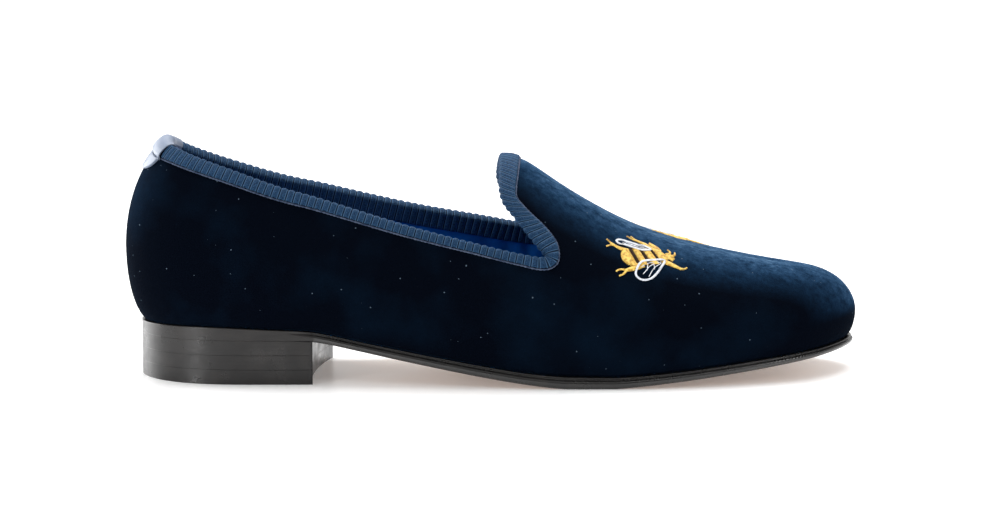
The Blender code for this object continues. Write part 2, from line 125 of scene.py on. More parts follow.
# The paper glows faintly round the shoe and more further off, so that it stays white to the edge.
FLOOR_HALF = 4000.0
paper = bpy.data.materials.new("white_paper")
paper.use_nodes = True
ground = paper.node_tree
spot = add_node(ground, "TexCoord").outputs["Object"]
far = add_node(ground, "VectorMath", {0: spot}, operation="LENGTH").outputs["Value"]
give(ground, ground.nodes["Principled BSDF"], {
    "Base Color": (0.93, 0.93, 0.93, 1.0), "Roughness": 0.3, "Emission Color": (1.0, 1.0, 1.0, 1.0),
    "Emission Strength": spread(ground, far, 0.18, 0.7, (0.17, 0.40)),
})
floor_mesh = bpy.data.meshes.new("floor")
corners = np.array([[-1, -1, 0], [1, -1, 0], [1, 1, 0], [-1, 1, 0]]) * FLOOR_HALF
floor_mesh.from_pydata((corners * MM).tolist(), [], [(0, 1, 2, 3)])
floor_mesh.materials.append(paper)
floor = bpy.data.objects.new("floor", floor_mesh)
bpy.context.scene.collection.objects.link(floor)


# Velvet upper: one piece of navy cotton velvet pulled over the last, with no seam at the side. It is a
# millimetre thick, its short pile dark head-on, with a painted sheen in its base colour that turns it blue
# and then pale where it faces up and turns from the eye.
LAST_COLUMNS = (
    "x", "lateral", "medial", "overhang", "belly",
    "crown_x", "crown_y", "crown_z", "shoulder", "sole",
)
LAST_ROWS = (
    (-123.1, 0.0, 0.0, 6.1, 25.2, -101.4, 0.0, 87.0, 0.00, 4.0),
    (-119.9, -11.0, 11.0, 5.9, 24.2, -100.7, 0.0, 87.0, 0.00, 4.1),
    (-110.2, -21.0, 21.0, 4.8, 21.5, -98.2, 0.0, 86.5, 0.00, 4.4),
    (-93.2, -26.6, 26.0, 3.8, 17.5, -88.2, 0.0, 85.5, 0.00, 4.4),
    (-67.2, -27.6, 25.2, 3.4, 14.0, -67.2, 0.2, 85.5, 0.00, 3.4),
    (-35.2, -30.2, 25.2, 3.4, 13.0, -35.2, 0.8, 84.0, 0.00, 3.5),
    (-5.2, -34.8, 31.4, 2.6, 12.0, -5.2, 1.6, 76.4, 0.00, 3.9),
    (9.8, -37.0, 35.6, 2.3, 11.5, 9.3, 2.0, 74.8, 0.00, 3.9),
    (24.8, -38.3, 38.6, 2.0, 11.0, 23.3, 2.4, 66.1, 0.00, 4.1),
    (52.8, -38.0, 39.8, 1.8, 10.0, 47.8, 3.2, 52.0, 0.01, 3.6),
    (78.8, -33.4, 37.2, 2.0, 9.0, 70.8, 3.8, 44.0, 0.03, 3.3),
    (100.6, -26.0, 31.2, 2.2, 8.5, 87.8, 4.0, 39.9, 0.04, 3.0),
    (115.8, -15.8, 22.2, 2.5, 8.5, 97.8, 4.0, 38.0, 0.04, 2.6),
    (126.8, 4.0, 4.0, 2.6, 8.5, 101.8, 4.0, 37.3, 0.04, 2.5),
)
LAST_STATION = len(LAST_ROWS) - 1
TUCK_ANGLE = np.radians(72)
SEAT_HEIGHT = 15.3
BREAST_X = -62.8
TREAD_BACK_X = 24.3
TREAD_FRONT_X = 40.8
TOE_TIP_X = 126.8
TOE_SPRING = 9.4
SHANK_POWER = 1.35
SPRING_POWER = 1.15
BREAST_BLEND = 0.05
SEAT_GAP = 0.3

WALL_COLUMNS = ("foot", "top", "lateral_share", "medial_share", "sweep")
WALL_ROWS = (
    (0.00, 0.00, 0.700, 0.700, 0.0),  # heel back
    (1.00, 1.00, 0.648, 0.662, 0.0),
    (2.00, 2.00, 0.600, 0.585, 0.0),
    (3.00, 3.00, 0.529, 0.502, 0.0),
    (4.00, 4.00, 0.417, 0.412, 0.0),
    (5.00, 5.00, 0.340, 0.361, 0.0),
    (6.00, 6.00, 0.329, 0.372, 0.0),
    (6.80, 6.80, 0.316, 0.358, 0.0),
    (7.35, 7.33, 0.321, 0.365, 0.2),
    (7.60, 7.62, 0.342, 0.386, 0.6),  # corner of the collar
    (7.84, 7.63, 0.370, 0.410, 0.9),
    (8.12, 7.42, 0.407, 0.443, 1.0),
    (8.38, 7.07, 0.460, 0.489, 1.0),
    (8.60, 6.73, 0.519, 0.543, 1.0),
    (8.80, 6.52, 0.572, 0.593, 1.0),  # side of the throat
    (8.98, 6.44, 0.640, 0.655, 0.9),
    (9.16, 6.45, 0.740, 0.748, 0.8),
    (9.40, 6.48, 0.865, 0.868, 0.6),
    (9.75, 6.50, 1.000, 1.000, 0.5),  # peak of the tongue
    (10.20, 7.50, 1.000, 1.000, 0.3),
    (10.65, 8.60, 1.000, 1.000, 0.1),
    (11.15, 9.75, 1.000, 1.000, 0.0),
    (11.65, 10.90, 1.000, 1.000, 0.0),
    (12.30, 12.05, 1.000, 1.000, 0.0),
    (13.00, 13.00, 1.000, 1.000, 0.0),  # toe tip
)
PEAK_ROW = 18
TUCK_WAY = 0.2
WALL_STEPS = 9  # grid lines for each row of the wall's table
TUCK_STEPS = 7
RISE_STEPS = 30
VELVET_THICKNESS = 1.0
RIDGE_SHARE = 0.999
SHEEN_PAINT_FROM_UP, SHEEN_PAINT_FULL_UP = -0.05, 0.45  # how far the velvet faces up as its painted sheen comes in
# The painted sheen is weakest at the heel and full from the vamp on.
SHEEN_PAINT_HEEL_X, SHEEN_PAINT_VAMP_X = -60.0, 15.0
SHEEN_PAINT_AT_HEEL = 0.15


def cubic(a, b, slope_a, slope_b, t):
    """The cubic from a to b with the given slopes, at a share t of the way."""
    start = a * (1 + 2 * t) * (1 - t) ** 2 + slope_a * t * (1 - t) ** 2
    return start + b * (3 - 2 * t) * t**2 - slope_b * (1 - t) * t**2


def closed_spline(knots):
    """A smooth closed curve through equally spaced knots: cubics whose slopes keep it evenly bent."""
    count = len(knots)
    ring = np.eye(count)
    system = 4 * ring + np.roll(ring, 1, axis=0) + np.roll(ring, -1, axis=0)
    slopes = np.linalg.solve(system, 3 * (np.roll(knots, -1) - np.roll(knots, 1)))

    def at(station):
        k = np.floor(station).astype(int)
        here, after = k % count, (k + 1) % count
        return cubic(knots[here], knots[after], slopes[here], slopes[after], station - k)

    return at


def round_the_last(lateral, medial):
    """A closed list of a column: along the lateral side to the toe, then back along the medial."""
    return np.concatenate([lateral, medial[-2:0:-1]])


LAST = dict(zip(LAST_COLUMNS, np.array(LAST_ROWS).T))
LINES = {name: closed_spline(round_the_last(column, column)) for name, column in LAST.items()}
LINES["side"] = closed_spline(round_the_last(LAST["lateral"], LAST["medial"]))


def unit(vectors):
    """Vectors scaled to length one."""
    return vectors / np.linalg.norm(vectors, axis=-1, keepdims=True)


def sole_bottom(x):
    """Height of the sole's underside: level at the heel, down the shank as a power of the way, flat under
    the ball, and up again at the toe as another power."""
    along = (x - BREAST_X) / (TREAD_BACK_X - BREAST_X)
    along = np.clip((along + np.sqrt(along**2 + BREAST_BLEND**2)) / 2, 0, None)
    shank = SEAT_HEIGHT * np.clip(1 - along, 0, None) ** SHANK_POWER
    shank = np.where(x >= TREAD_BACK_X, 0, shank)
    spring = np.clip((x - TREAD_FRONT_X) / (TOE_TIP_X - TREAD_FRONT_X), 0, None)
    return shank + TOE_SPRING * spring**SPRING_POWER


def feather_line(station):
    """Points where the upper meets the sole. Negative stations run along the medial side."""
    x = LINES["x"](station)
    return np.stack([x, LINES["side"](station), sole_bottom(x) + LINES["sole"](station)], axis=-1)


def last_surface(station, share):
    """Points on the upper's outside. Share runs from -1 at the sole's edge, through 0 at the widest line,
    to 1 on the ridge, and past 1 down the other side. Below the widest line a section is part of an
    ellipse that curls under, above it a quarter ellipse that ends level on the ridge."""
    station, share = np.broadcast_arrays(np.asarray(station, float), np.asarray(share, float))
    over = share > 1
    station = np.where(over, -station, station)
    share = np.where(over, 2 - share, share)
    foot = feather_line(station)
    crown = np.stack([LINES["crown_x"](station), LINES["crown_y"](station)], axis=-1)
    outward = unit(foot[..., :2] - crown)
    overhang, belly = LINES["overhang"](station), LINES["belly"](station)
    widest = foot[..., :2] + outward * overhang[..., None]
    widest_z = foot[..., 2] + belly
    curl = np.clip(-share, 0, None) * TUCK_ANGLE
    tuck = overhang * (1 - np.cos(curl)) / (1 - np.cos(TUCK_ANGLE))
    drop = belly * np.sin(curl) / np.sin(TUCK_ANGLE)
    rise = np.clip(share, 0, None) * np.pi / 2
    inward = (1 - np.cos(rise))[..., None] * (crown - widest)
    swell = np.sin(rise) + LINES["shoulder"](station) * np.sin(2 * rise) ** 2
    plan = widest - outward * tuck[..., None] + inward
    z = widest_z - drop + swell * (LINES["crown_z"](station) - widest_z) + SEAT_GAP
    return np.concatenate([plan, z[..., None]], axis=-1)


def surface_slopes(station, share, step=1e-4):
    """How the surface point moves for a unit of station and of share, by central differences."""
    along = last_surface(station + step, share) - last_surface(station - step, share)
    up = last_surface(station, share + step) - last_surface(station, share - step)
    return along / (2 * step), up / (2 * step)


def surface_normal(station, share):
    """Unit normals of the upper's outside, pointing out."""
    along, up = surface_slopes(station, share)
    return unit(np.cross(along, up))


def row_curve(name, place):
    """A column of the wall's table at fractional row numbers, on a smooth curve through every row. It may
    bend sharply only at the tongue's peak, where the wall's top edge turns from throat to ridge."""
    values = np.array(WALL_ROWS)[:, WALL_COLUMNS.index(name)]
    last = len(values) - 1
    k = np.clip(np.floor(place).astype(int), 0, last - 1)
    t = place - k
    a, b = values[k], values[k + 1]
    before, after = values[np.clip(k - 1, 0, last)], values[np.clip(k + 2, 0, last)]
    slope_a = np.where(k == PEAK_ROW, b - a, (b - before) / 2)
    slope_b = np.where(k + 1 == PEAK_ROW, b - a, (after - a) / 2)
    return cubic(a, b, slope_a, slope_b, t)


def wall_line(place, medial):
    """Station and share along one side's wall lines, each an array of lines by points. A line climbs
    straight or, under the throat, rises first and leans back late."""
    foot, top, sweep = [row_curve(name, place)[:, None] for name in ("foot", "top", "sweep")]
    top_share = row_curve("medial_share" if medial else "lateral_share", place)[:, None]
    tuck = np.linspace(-1, 0, TUCK_STEPS + 1)[None, :-1]
    rise = np.linspace(0, 1, RISE_STEPS + 1)[None, :]
    climb = rise + sweep * rise * (1 - rise)
    share = np.concatenate([tuck * np.ones_like(foot), climb * np.minimum(top_share, 1)], axis=1)
    way = np.concatenate([(tuck + 1) * TUCK_WAY, TUCK_WAY + (1 - TUCK_WAY) * rise], axis=1)
    lean = (1 - sweep) * way**2 * (3 - 2 * way) + sweep * way**3
    return (-1 if medial else 1) * (foot + (top - foot) * lean), share


def grid_quads(rows, columns, ring_rows=False, ring_columns=False):
    """The four-cornered faces of a grid of points numbered row by row, closed on itself where asked."""
    i = np.arange(rows if ring_rows else rows - 1)[:, None]
    j = np.arange(columns if ring_columns else columns - 1)[None, :]
    low, high = i * columns, (i + 1) % rows * columns
    after = (j + 1) % columns
    return np.stack([low + j, high + j, high + after, low + after], axis=-1).reshape(-1, 4)


def make_piece(name, points, quads, finishes, which=None, uv=None, painted_sheen=None, merge=True):
    """A smooth mesh object from points in millimetres and four-cornered faces. Which gives each face's
    finish, uv each point's place on the cloth in millimetres, and painted_sheen how strongly a painted
    sheen lightens its base colour."""
    mesh = bpy.data.meshes.new(name)
    mesh.from_pydata((points.reshape(-1, 3) * MM).tolist(), [], quads.tolist())
    for finish in finishes:
        mesh.materials.append(finish)
    if which is not None:
        mesh.polygons.foreach_set("material_index", which.astype(np.int32))
    if uv is not None:
        layer = mesh.uv_layers.new(name="cloth")
        layer.data.foreach_set("uv", uv.reshape(-1, 2)[quads.ravel()].ravel())
    if painted_sheen is not None:
        layer = mesh.attributes.new("painted_sheen", "FLOAT", "POINT")
        layer.data.foreach_set("value", painted_sheen.ravel())
    mesh.validate()
    if merge:
        work = bmesh.new()
        work.from_mesh(mesh)
        bmesh.ops.remove_doubles(work, verts=work.verts, dist=2e-6)
        work.to_mesh(mesh)
        work.free()
    mesh.shade_smooth()
    made = bpy.data.objects.new(name, mesh)
    bpy.context.scene.collection.objects.link(made)
    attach(made, "root")
    return made


def thicken(piece, thickness):
    """Give a piece's surface a thickness in millimetres, inwards."""
    sheet = piece.modifiers.new("thickness", "SOLIDIFY")
    sheet.thickness = thickness * MM
    sheet.offset = -1


def new_material(name, **sockets):
    """A Principled material with constant values on its own sockets. Returns it, its tree and shader."""
    made = bpy.data.materials.new(name)
    made.use_nodes = True
    tree = made.node_tree
    values = {socket.replace("_", " "): value for socket, value in sockets.items()}
    return made, tree, give(tree, tree.nodes["Principled BSDF"], values)


def math_node(tree, operation, *values, clamp=False):
    """The outcome of one operation on values."""
    return add_node(tree, "Math", dict(enumerate(values)), operation=operation, use_clamp=clamp).outputs[0]


def blend(tree, share, first, second):
    """The first colour with a share of the second."""
    return add_node(tree, "Mix", {"Factor": share, 6: first, 7: second}, data_type="RGBA").outputs[2]


def noise_over(tree, place, scale, detail, **more):
    """Noise at a place, between 0 and 1."""
    values = {"Vector": place, "Scale": scale, "Detail": detail, **more}
    return add_node(tree, "TexNoise", values).outputs["Fac"]


def raised(tree, height, strength, distance, **more):
    """The normal of a surface raised by a height, the distance in metres."""
    values = {"Height": height, "Strength": strength, "Distance": distance, **more}
    return add_node(tree, "Bump", values).outputs["Normal"]


def own_place(tree):
    """The object's own coordinates."""
    return add_node(tree, "TexCoord").outputs["Object"]


def new_group(name, inputs, outputs):
    """An empty node group with named sockets, each of a kind such as Color or Float."""
    group = bpy.data.node_groups.new(name, "ShaderNodeTree")
    for side, sockets in (("INPUT", inputs), ("OUTPUT", outputs)):
        for label, kind in sockets.items():
            group.interface.new_socket(label, in_out=side, socket_type="NodeSocket" + kind)
    return group, group.nodes.new("NodeGroupInput"), group.nodes.new("NodeGroupOutput")


def cloudy_group():
    """Soft cloudy patches: low noise over the object's own coordinates, spread between two limits, that
    mixes one colour into another."""
    inputs = {"Base": "Color", "Patch": "Color", "Scale": "Float", "Low": "Float", "High": "Float"}
    group, given, result = new_group("cloudy_colour", inputs, {"Color": "Color"})
    base, patch, scale, low, high = given.outputs[:5]
    mask = spread(group, noise_over(group, own_place(group), scale, 4.0), low, high)
    give(group, result, {"Color": blend(group, mask, base, patch)})
    return group


CLOUDY = cloudy_group()


def placed(tree, group, values):
    """A node group placed in a material with its own values."""
    made = add_node(tree, "Group")
    made.node_tree = group
    return give(tree, made, values)


def cloudy(tree, base, patch, scale, low, high):
    """The cloudy colour in a material, with its own two colours, patch scale and limits."""
    values = {"Base": (*base, 1), "Patch": (*patch, 1), "Scale": scale, "Low": low, "High": high}
    return placed(tree, CLOUDY, values).outputs["Color"]


def velvet_material():
    """Navy velvet: cloudy brushed patches under a fine pile and pale lint here and there. Where the
    painted_sheen attribute lets it, a painted sheen turns the base colour blue and then pale as the surface
    turns away from the eye."""
    made, tree, bsdf = new_material(
        "navy_velvet", Roughness=0.95, Specular_IOR_Level=0.01, Sheen_Weight=0.02,
        Sheen_Roughness=0.35, Sheen_Tint=(0.20, 0.50, 1.0, 1.0),
    )
    place = own_place(tree)
    cloud = cloudy(tree, (0.0011, 0.0021, 0.0050), (0.0019, 0.0066, 0.0155), 34.0, 0.47, 0.78)
    painted_sheen_here = add_node(tree, "Attribute", attribute_name="painted_sheen").outputs["Fac"]
    # Painted sheen and highlight: blue, then pale, mixed into the base colour in uneven streaks where the
    # velvet faces up and turns from the eye.
    away = spread(tree, add_node(tree, "LayerWeight", {"Blend": 0.5}).outputs["Facing"], 0.20, 1.0)
    sheen_streaks = spread(tree, noise_over(tree, place, 240.0, 9.0, Roughness=0.85), 0.36, 0.64, (0.35, 1.35))
    painted_shine = math_node(tree, "MULTIPLY", math_node(tree, "MULTIPLY", away, painted_sheen_here), sheen_streaks)
    deep = math_node(tree, "MULTIPLY", painted_shine, 0.8, clamp=True)
    crest = math_node(tree, "POWER", painted_shine, 3.0, clamp=True)
    blue = blend(tree, deep, cloud, (0.014, 0.062, 0.150, 1))
    pale = blend(tree, crest, blue, (0.062, 0.118, 0.195, 1))
    specks = add_node(tree, "TexVoronoi", {"Vector": place, "Scale": 400.0})
    few = add_node(tree, "SeparateColor", {"Color": specks.outputs["Color"]}).outputs["Red"]
    size = spread(tree, few, 0.6, 1.0, (0.0, 0.12))
    lint = math_node(tree, "GREATER_THAN", size, specks.outputs["Distance"])
    brushed = raised(tree, noise_over(tree, place, 120.0, 3.0), 0.25, 0.0006)
    pile = raised(tree, noise_over(tree, place, 2300.0, 2.0), 0.5, 0.0003, Normal=brushed)
    give(tree, bsdf, {"Base Color": blend(tree, lint, pale, (0.070, 0.098, 0.130, 1)), "Normal": pile})
    return made


def ease(value, low, high):
    """Zero below low, one above high, and a smooth step between."""
    t = np.clip((value - low) / (high - low), 0, 1)
    return t * t * (3 - 2 * t)


def wall_grid():
    """Station and share of the whole wall's grid: lateral lines from heel to toe, medial ones back."""
    place = np.linspace(0, len(WALL_ROWS) - 1, (len(WALL_ROWS) - 1) * WALL_STEPS + 1)
    lateral, medial = wall_line(place, False), wall_line(place, True)
    station = np.concatenate([lateral[0], medial[0][-2:0:-1]])
    share = np.concatenate([lateral[1], medial[1][-2:0:-1]])
    return station, share


VELVET = velvet_material()
wall_station, wall_share = wall_grid()
skin = last_surface(wall_station, wall_share)
skin_normal = surface_normal(wall_station, np.minimum(wall_share, RIDGE_SHARE))  # none on the ridge itself
other_side = skin_normal[-np.arange(len(skin_normal)) % len(skin_normal), -1]
on_ridge = wall_share[:, -1:] > RIDGE_SHARE
skin_normal[:, -1] = unit(skin_normal[:, -1] + on_ridge * other_side)  # both sides meet on the ridge
# Painted sheen: how much the base colour lightens, more as the velvet faces up, less at the heel.
painted_sheen = SHEEN_PAINT_AT_HEEL + (1 - SHEEN_PAINT_AT_HEEL) * ease(skin[..., 0], SHEEN_PAINT_HEEL_X, SHEEN_PAINT_VAMP_X)
painted_sheen = painted_sheen * ease(skin_normal[..., 2], SHEEN_PAINT_FROM_UP, SHEEN_PAINT_FULL_UP)
skin_quads = grid_quads(*wall_station.shape, ring_rows=True)
velvet = make_piece("velvet_upper", skin, skin_quads, [VELVET], painted_sheen=painted_sheen)
thicken(velvet, VELVET_THICKNESS)
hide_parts("upper")


# Lining: bright blue satin bagged out inside the velvet and caught under the binding, so that it puckers
# below the tape. It is glued down further in.
LINING_OUT = -1.15
LINING_THICKNESS = 0.8
PUCKER_HEIGHT = 0.8
PUCKER_PITCH = 7.0
PUCKER_DEPTH = 9.0  # below the rim, and the length over which the pitch varies
PUCKER_DRIFT = 1.3
PUCKER_FADE = 0.12


def way_along(points):
    """How far each point of a path lies along it."""
    return np.concatenate([[0], np.cumsum(np.linalg.norm(np.diff(points, axis=0), axis=-1))])


def satin_material():
    """Blue satin: a fine slanting twill, smooth along the threads, a little darker in the folds."""
    made, tree, bsdf = new_material(
        "blue_satin", Roughness=0.38, Specular_IOR_Level=0.45, Sheen_Weight=0.12,
        Sheen_Roughness=0.3, Sheen_Tint=(0.3, 0.6, 1.0, 1.0),
    )
    twill = add_node(
        tree, "TexWave", {"Vector": own_place(tree), "Scale": 900.0, "Distortion": 0.6, "Detail": 1.0},
        bands_direction="DIAGONAL",
    )
    give(tree, bsdf, {
        "Base Color": cloudy(tree, (0.002, 0.075, 0.27), (0.006, 0.160, 0.46), 90.0, 0.35, 0.7),
        "Normal": raised(tree, twill.outputs["Fac"], 0.15, 0.0001),
    })
    return made


SATIN = satin_material()
below_rim = np.linalg.norm(skin - skin[:, -1:], axis=-1)
rim_way = way_along(skin[:, -1])[:, None]
fade = np.exp(-((below_rim / PUCKER_DEPTH - 1) ** 2)) * ease(1 - wall_share[:, -1:], 0.0, PUCKER_FADE)
phase = 2 * np.pi * rim_way / PUCKER_PITCH + PUCKER_DRIFT * np.sin(rim_way / PUCKER_DEPTH)
pucker = fade * PUCKER_HEIGHT * (0.5 + 0.5 * np.sin(phase))
lining_skin = skin + skin_normal * (LINING_OUT - pucker)[..., None]
lining = make_piece("satin_lining", lining_skin, skin_quads, [SATIN])
thicken(lining, LINING_THICKNESS)


# Sock: a satin-covered board that lies on the sole inside the upper, its edge turned under and pressed
# against the lining.
SOCK_INSET = 2.6
SOCK_THICKNESS = 2.2
SOCK_POINTS = 240
SOCK_PROFILE = (  # further in, height
    (1.2, 0.0), (0.3, 0.25), (-0.5, 0.8), (-1.2, 1.4), (-1.4, 1.9), (-0.9, SOCK_THICKNESS),
)


def square_out(along):
    """Unit directions in plan that point out, square to a path's direction."""
    return unit(np.stack([along[..., 1], -along[..., 0]], axis=-1))


def outset_line(station, out):
    """The sole's outline moved outwards in plan by the given distance, square to its own path."""
    step = 1e-3
    line = feather_line(station)
    outward = square_out(feather_line(station + step) - feather_line(station - step))
    line[..., :2] += outward * np.asarray(out)[..., None]
    return line


def capped_loops(loops, across):
    """Points and faces of a plate from closed loops stacked bottom to top. Each cap is a grid of strips
    that join a loop's lateral points to its medial ones, so it follows the plate's bend."""
    levels, count = loops.shape[:2]
    points = [loops.reshape(-1, 3)]
    quads = [grid_quads(levels, count, ring_columns=True)[:, ::-1]]
    start = levels * count
    half = count // 2
    share = np.linspace(0, 1, across + 1)[None, :, None]
    for level, turned in ((0, True), (levels - 1, False)):
        near = loops[level][: half + 1]
        far = loops[level][-np.arange(half + 1) % count]
        cap = near[:, None] * (1 - share) + far[:, None] * share
        faces = grid_quads(half + 1, across + 1) + start
        quads.append(faces[:, ::-1] if turned else faces)
        points.append(cap.reshape(-1, 3))
        start += cap.shape[0] * cap.shape[1]
    return np.concatenate(points), np.concatenate(quads)


sock_station = np.arange(SOCK_POINTS) / SOCK_POINTS * 2 * LAST_STATION
sock_loops = []
for inset, lift in SOCK_PROFILE:
    loop = outset_line(sock_station, np.full(SOCK_POINTS, -SOCK_INSET - inset))
    loop[..., 2] += SEAT_GAP + lift
    sock_loops.append(loop)
sock_points, sock_quads = capped_loops(np.array(sock_loops), across=12)
sock = make_piece("sock", sock_points, sock_quads, [SATIN])
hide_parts("insole")


# Collar binding: wide-ribbed grosgrain tape folded over the raw edge of velvet and lining, all round the
# collar and throat. Its outer edge carries a fine cord, sewn down against the velvet.
TAPE_ROWS = (  # row of the wall's table, depth of the tape on the velvet there
    (1.35, 4.7), (3.00, 4.0), (4.60, 2.8), (5.60, 2.3), (7.00, 2.5), (8.60, 3.1), (9.60, 3.1),
    (10.60, 4.7), (11.50, 4.7), (12.50, 3.5), (13.50, 3.2), (15.00, 4.4), (18.00, 5.8),
)
TAPE_WAY_BESIDE = 0.35  # the ribs are evenly spaced this share of the depth below the rim
TAPE_BEND = 0.42  # the share of the width that goes over the rim
TAPE_SETTLE = 0.45  # its outer edge is sewn down this much closer
TAPE_LINING_DEPTH = 6.2
TAPE_OUT = 1.1  # its face stands this far off the velvet
TAPE_IN = -3.25
TAPE_RISE = 1.1
TAPE_THICKNESS = 0.7
TAB_END_STATION = 1.35
RIB_PITCH = 2.55
RIB_HEIGHT = 0.55
RIB_SLANT = 4.6  # how far the ribs lean over half the tape's width at the throat
SLANT_ROWS = (10.2, 13.4)  # rows of the wall's table over which the ribs come to lean
RIB_SHARPNESS = 0.8
RIB_AT_EDGE = 0.35
RIB_SAMPLES = 12
RIB_HIGHLIGHT_PLACE = 0.42  # how high on a rib its painted highlight line lies
WARP_PITCH = 0.32
CORNER_SAMPLES = 30  # the window that keeps the tape's sections from crossing in the corner
TAPE_HALF_WIDTH = 8.5
TAPE_ACROSS = 24
CORD_RADIUS = 0.30
CORD_TWIST = 1.25  # millimetres from one turn of the cord to the next
CORD_TURN_DEPTH = 0.22
CORD_BELOW_TAPE = 0.35
CORD_AROUND = 8


def slide_on_surface(station, share, target, rounds=3):
    """The station and share of the surface points nearest to target, by Newton steps in the tangent
    plane."""
    for _ in range(rounds):
        along, up = surface_slopes(station, share)
        miss = target - last_surface(station, share)
        aa, au, uu = (along * along).sum(-1), (along * up).sum(-1), (up * up).sum(-1)
        ma, mu = (miss * along).sum(-1), (miss * up).sum(-1)
        det = aa * uu - au**2
        station = station + (ma * uu - mu * au) / det
        share = share + (mu * aa - ma * au) / det
    return station, share


def table_row(place):
    """The row of the wall's table at a place along the topline, the same on both sides."""
    return np.where(place > PEAK_ROW, 2 * PEAK_ROW - place, np.abs(place))


def topline(place):
    """Station and share of the topline. Places run from the heel's back by the lateral side to the
    tongue's peak, and past it back along the medial side, which is also below zero."""
    medial = (place > PEAK_ROW) | (place < 0)
    row = table_row(place)
    share = np.where(medial, row_curve("medial_share", row), row_curve("lateral_share", row))
    return np.where(medial, -1, 1) * row_curve("top", row), np.minimum(share, 1)


def smooth_curve(knots, values, at):
    """Values at places between knots, on cubics whose slope at a knot comes from its neighbours."""
    slopes = np.gradient(values, knots)
    k = np.clip(np.searchsorted(knots, at, side="right") - 1, 0, len(knots) - 2)
    span = knots[k + 1] - knots[k]
    t = np.clip((at - knots[k]) / span, 0, 1)
    return cubic(values[k], values[k + 1], slopes[k] * span, slopes[k + 1] * span, t)


def tape_depth_at(place):
    """Depth of the binding's outer edge at places along the topline."""
    return smooth_curve(*np.array(TAPE_ROWS).T, table_row(place))


def even_path(first, last, count_of, beside=0.0):
    """Places along the topline, evenly spaced, with the way gone at each in millimetres. The way is
    measured on the rim, or beside it at that share of the binding's depth. Count_of gives how many
    places from the whole length."""
    fine = np.linspace(first, last, 6001)
    on = topline(fine)
    line = last_surface(*on)
    down = unit(np.cross(np.gradient(line, axis=0), surface_normal(*on)))
    line = line + down * (tape_depth_at(fine) * beside)[:, None]
    way = way_along(line)
    even = np.linspace(0, way[-1], count_of(way[-1]))
    return np.interp(even, way, fine), even


def smooth_rows(values, width):
    """Values along a path averaged with a bell-shaped window that many samples wide, ends held."""
    kernel = np.exp(-np.linspace(-2, 2, 2 * width + 1) ** 2)
    kernel /= kernel.sum()
    padded = np.pad(values, [(width, width)] + [(0, 0)] * (values.ndim - 1), mode="edge")
    rows = [np.convolve(column, kernel, mode="valid") for column in padded.reshape(len(padded), -1).T]
    return np.stack(rows, axis=-1).reshape(values.shape)


def on_tape(station, share, depth, out):
    """Points beside the topline: down from the rim over the surface by depth, and off it by out. Depth
    below zero stands above the rim."""
    rim = last_surface(station, share)
    path = np.gradient(rim, axis=0)
    down = unit(np.cross(path, surface_normal(station, share)))
    down = unit(smooth_rows(down, CORNER_SAMPLES))
    rows = []
    for one_depth, one_out in zip(depth.T, out.T):
        on = slide_on_surface(station, share, rim + np.maximum(one_depth, 0)[:, None] * down)
        lifted = surface_normal(*on) * one_out[:, None] + np.minimum(one_depth, 0)[:, None] * down
        rows.append(last_surface(*on) + lifted)
    return np.stack(rows, axis=1)


def grosgrain_material():
    """Grosgrain: dark ribs of fine threads that run along the tape. Painted shade darkens the hollows
    between ribs, and a painted highlight runs as a pale line down each side of every rib. The cloth's own
    coordinates are millimetres along and across it."""
    made, tree, bsdf = new_material(
        "grosgrain", Roughness=0.65, Specular_IOR_Level=0.08, Sheen_Weight=0.12,
        Sheen_Roughness=0.4, Sheen_Tint=(0.25, 0.55, 0.95, 1.0),
    )
    place = add_node(tree, "UVMap", uv_map="cloth").outputs["UV"]
    along, across = add_node(tree, "SeparateXYZ", {"Vector": place}).outputs[:2]
    wave = math_node(tree, "COSINE", math_node(tree, "MULTIPLY", along, np.pi / RIB_PITCH))
    crest = math_node(tree, "ABSOLUTE", wave)
    uneven = spread(tree, noise_over(tree, place, 1.9, 4.0), 0.3, 0.7)
    # Painted shade: darker in the hollows between ribs, lighter towards each rib's top.
    shade = math_node(tree, "MULTIPLY", spread(tree, crest, 0.15, 0.75), uneven)
    face = blend(tree, shade, (0.0035, 0.0105, 0.0270, 1), (0.0190, 0.0620, 0.1400, 1))
    # Painted highlight: a pale line down each side of every rib.
    beside = math_node(tree, "ABSOLUTE", math_node(tree, "SUBTRACT", crest, RIB_HIGHLIGHT_PLACE))
    painted_flank_highlight = spread(tree, beside, 0.04, 0.17, (0.6, 0.0))
    weave = math_node(tree, "SINE", math_node(tree, "MULTIPLY", across, 2 * np.pi / WARP_PITCH))
    give(tree, bsdf, {
        "Base Color": blend(tree, painted_flank_highlight, face, (0.080, 0.180, 0.320, 1)),
        "Normal": raised(tree, weave, 0.4, 0.00006),
    })
    return made


GROSGRAIN = grosgrain_material()
TAPE_ENDS = (TAB_END_STATION, 2 * PEAK_ROW - TAB_END_STATION)
tape_place, tape_way = even_path(
    *TAPE_ENDS, lambda length: int(length / RIB_PITCH * RIB_SAMPLES), beside=TAPE_WAY_BESIDE,
)
tape_station, tape_share = topline(tape_place)
turn = np.linspace(-1, 1, TAPE_ACROSS)[None, :]  # -1 at the outer edge, 0 over the rim, 1 at the inner
flat = np.clip((np.abs(turn) - TAPE_BEND) / (1 - TAPE_BEND), 0, 1)
arc = np.clip(turn / TAPE_BEND, -1, 1) * np.pi / 2
slant = RIB_SLANT * ease(table_row(tape_place), *SLANT_ROWS) * np.sign(PEAK_ROW - tape_place)
rib_way = tape_way[:, None] - slant[:, None] * turn
rib = np.abs(np.cos(np.pi * rib_way / RIB_PITCH)) ** RIB_SHARPNESS
edge_fade = np.clip((1 - np.abs(turn)) * 5, 0, 1)
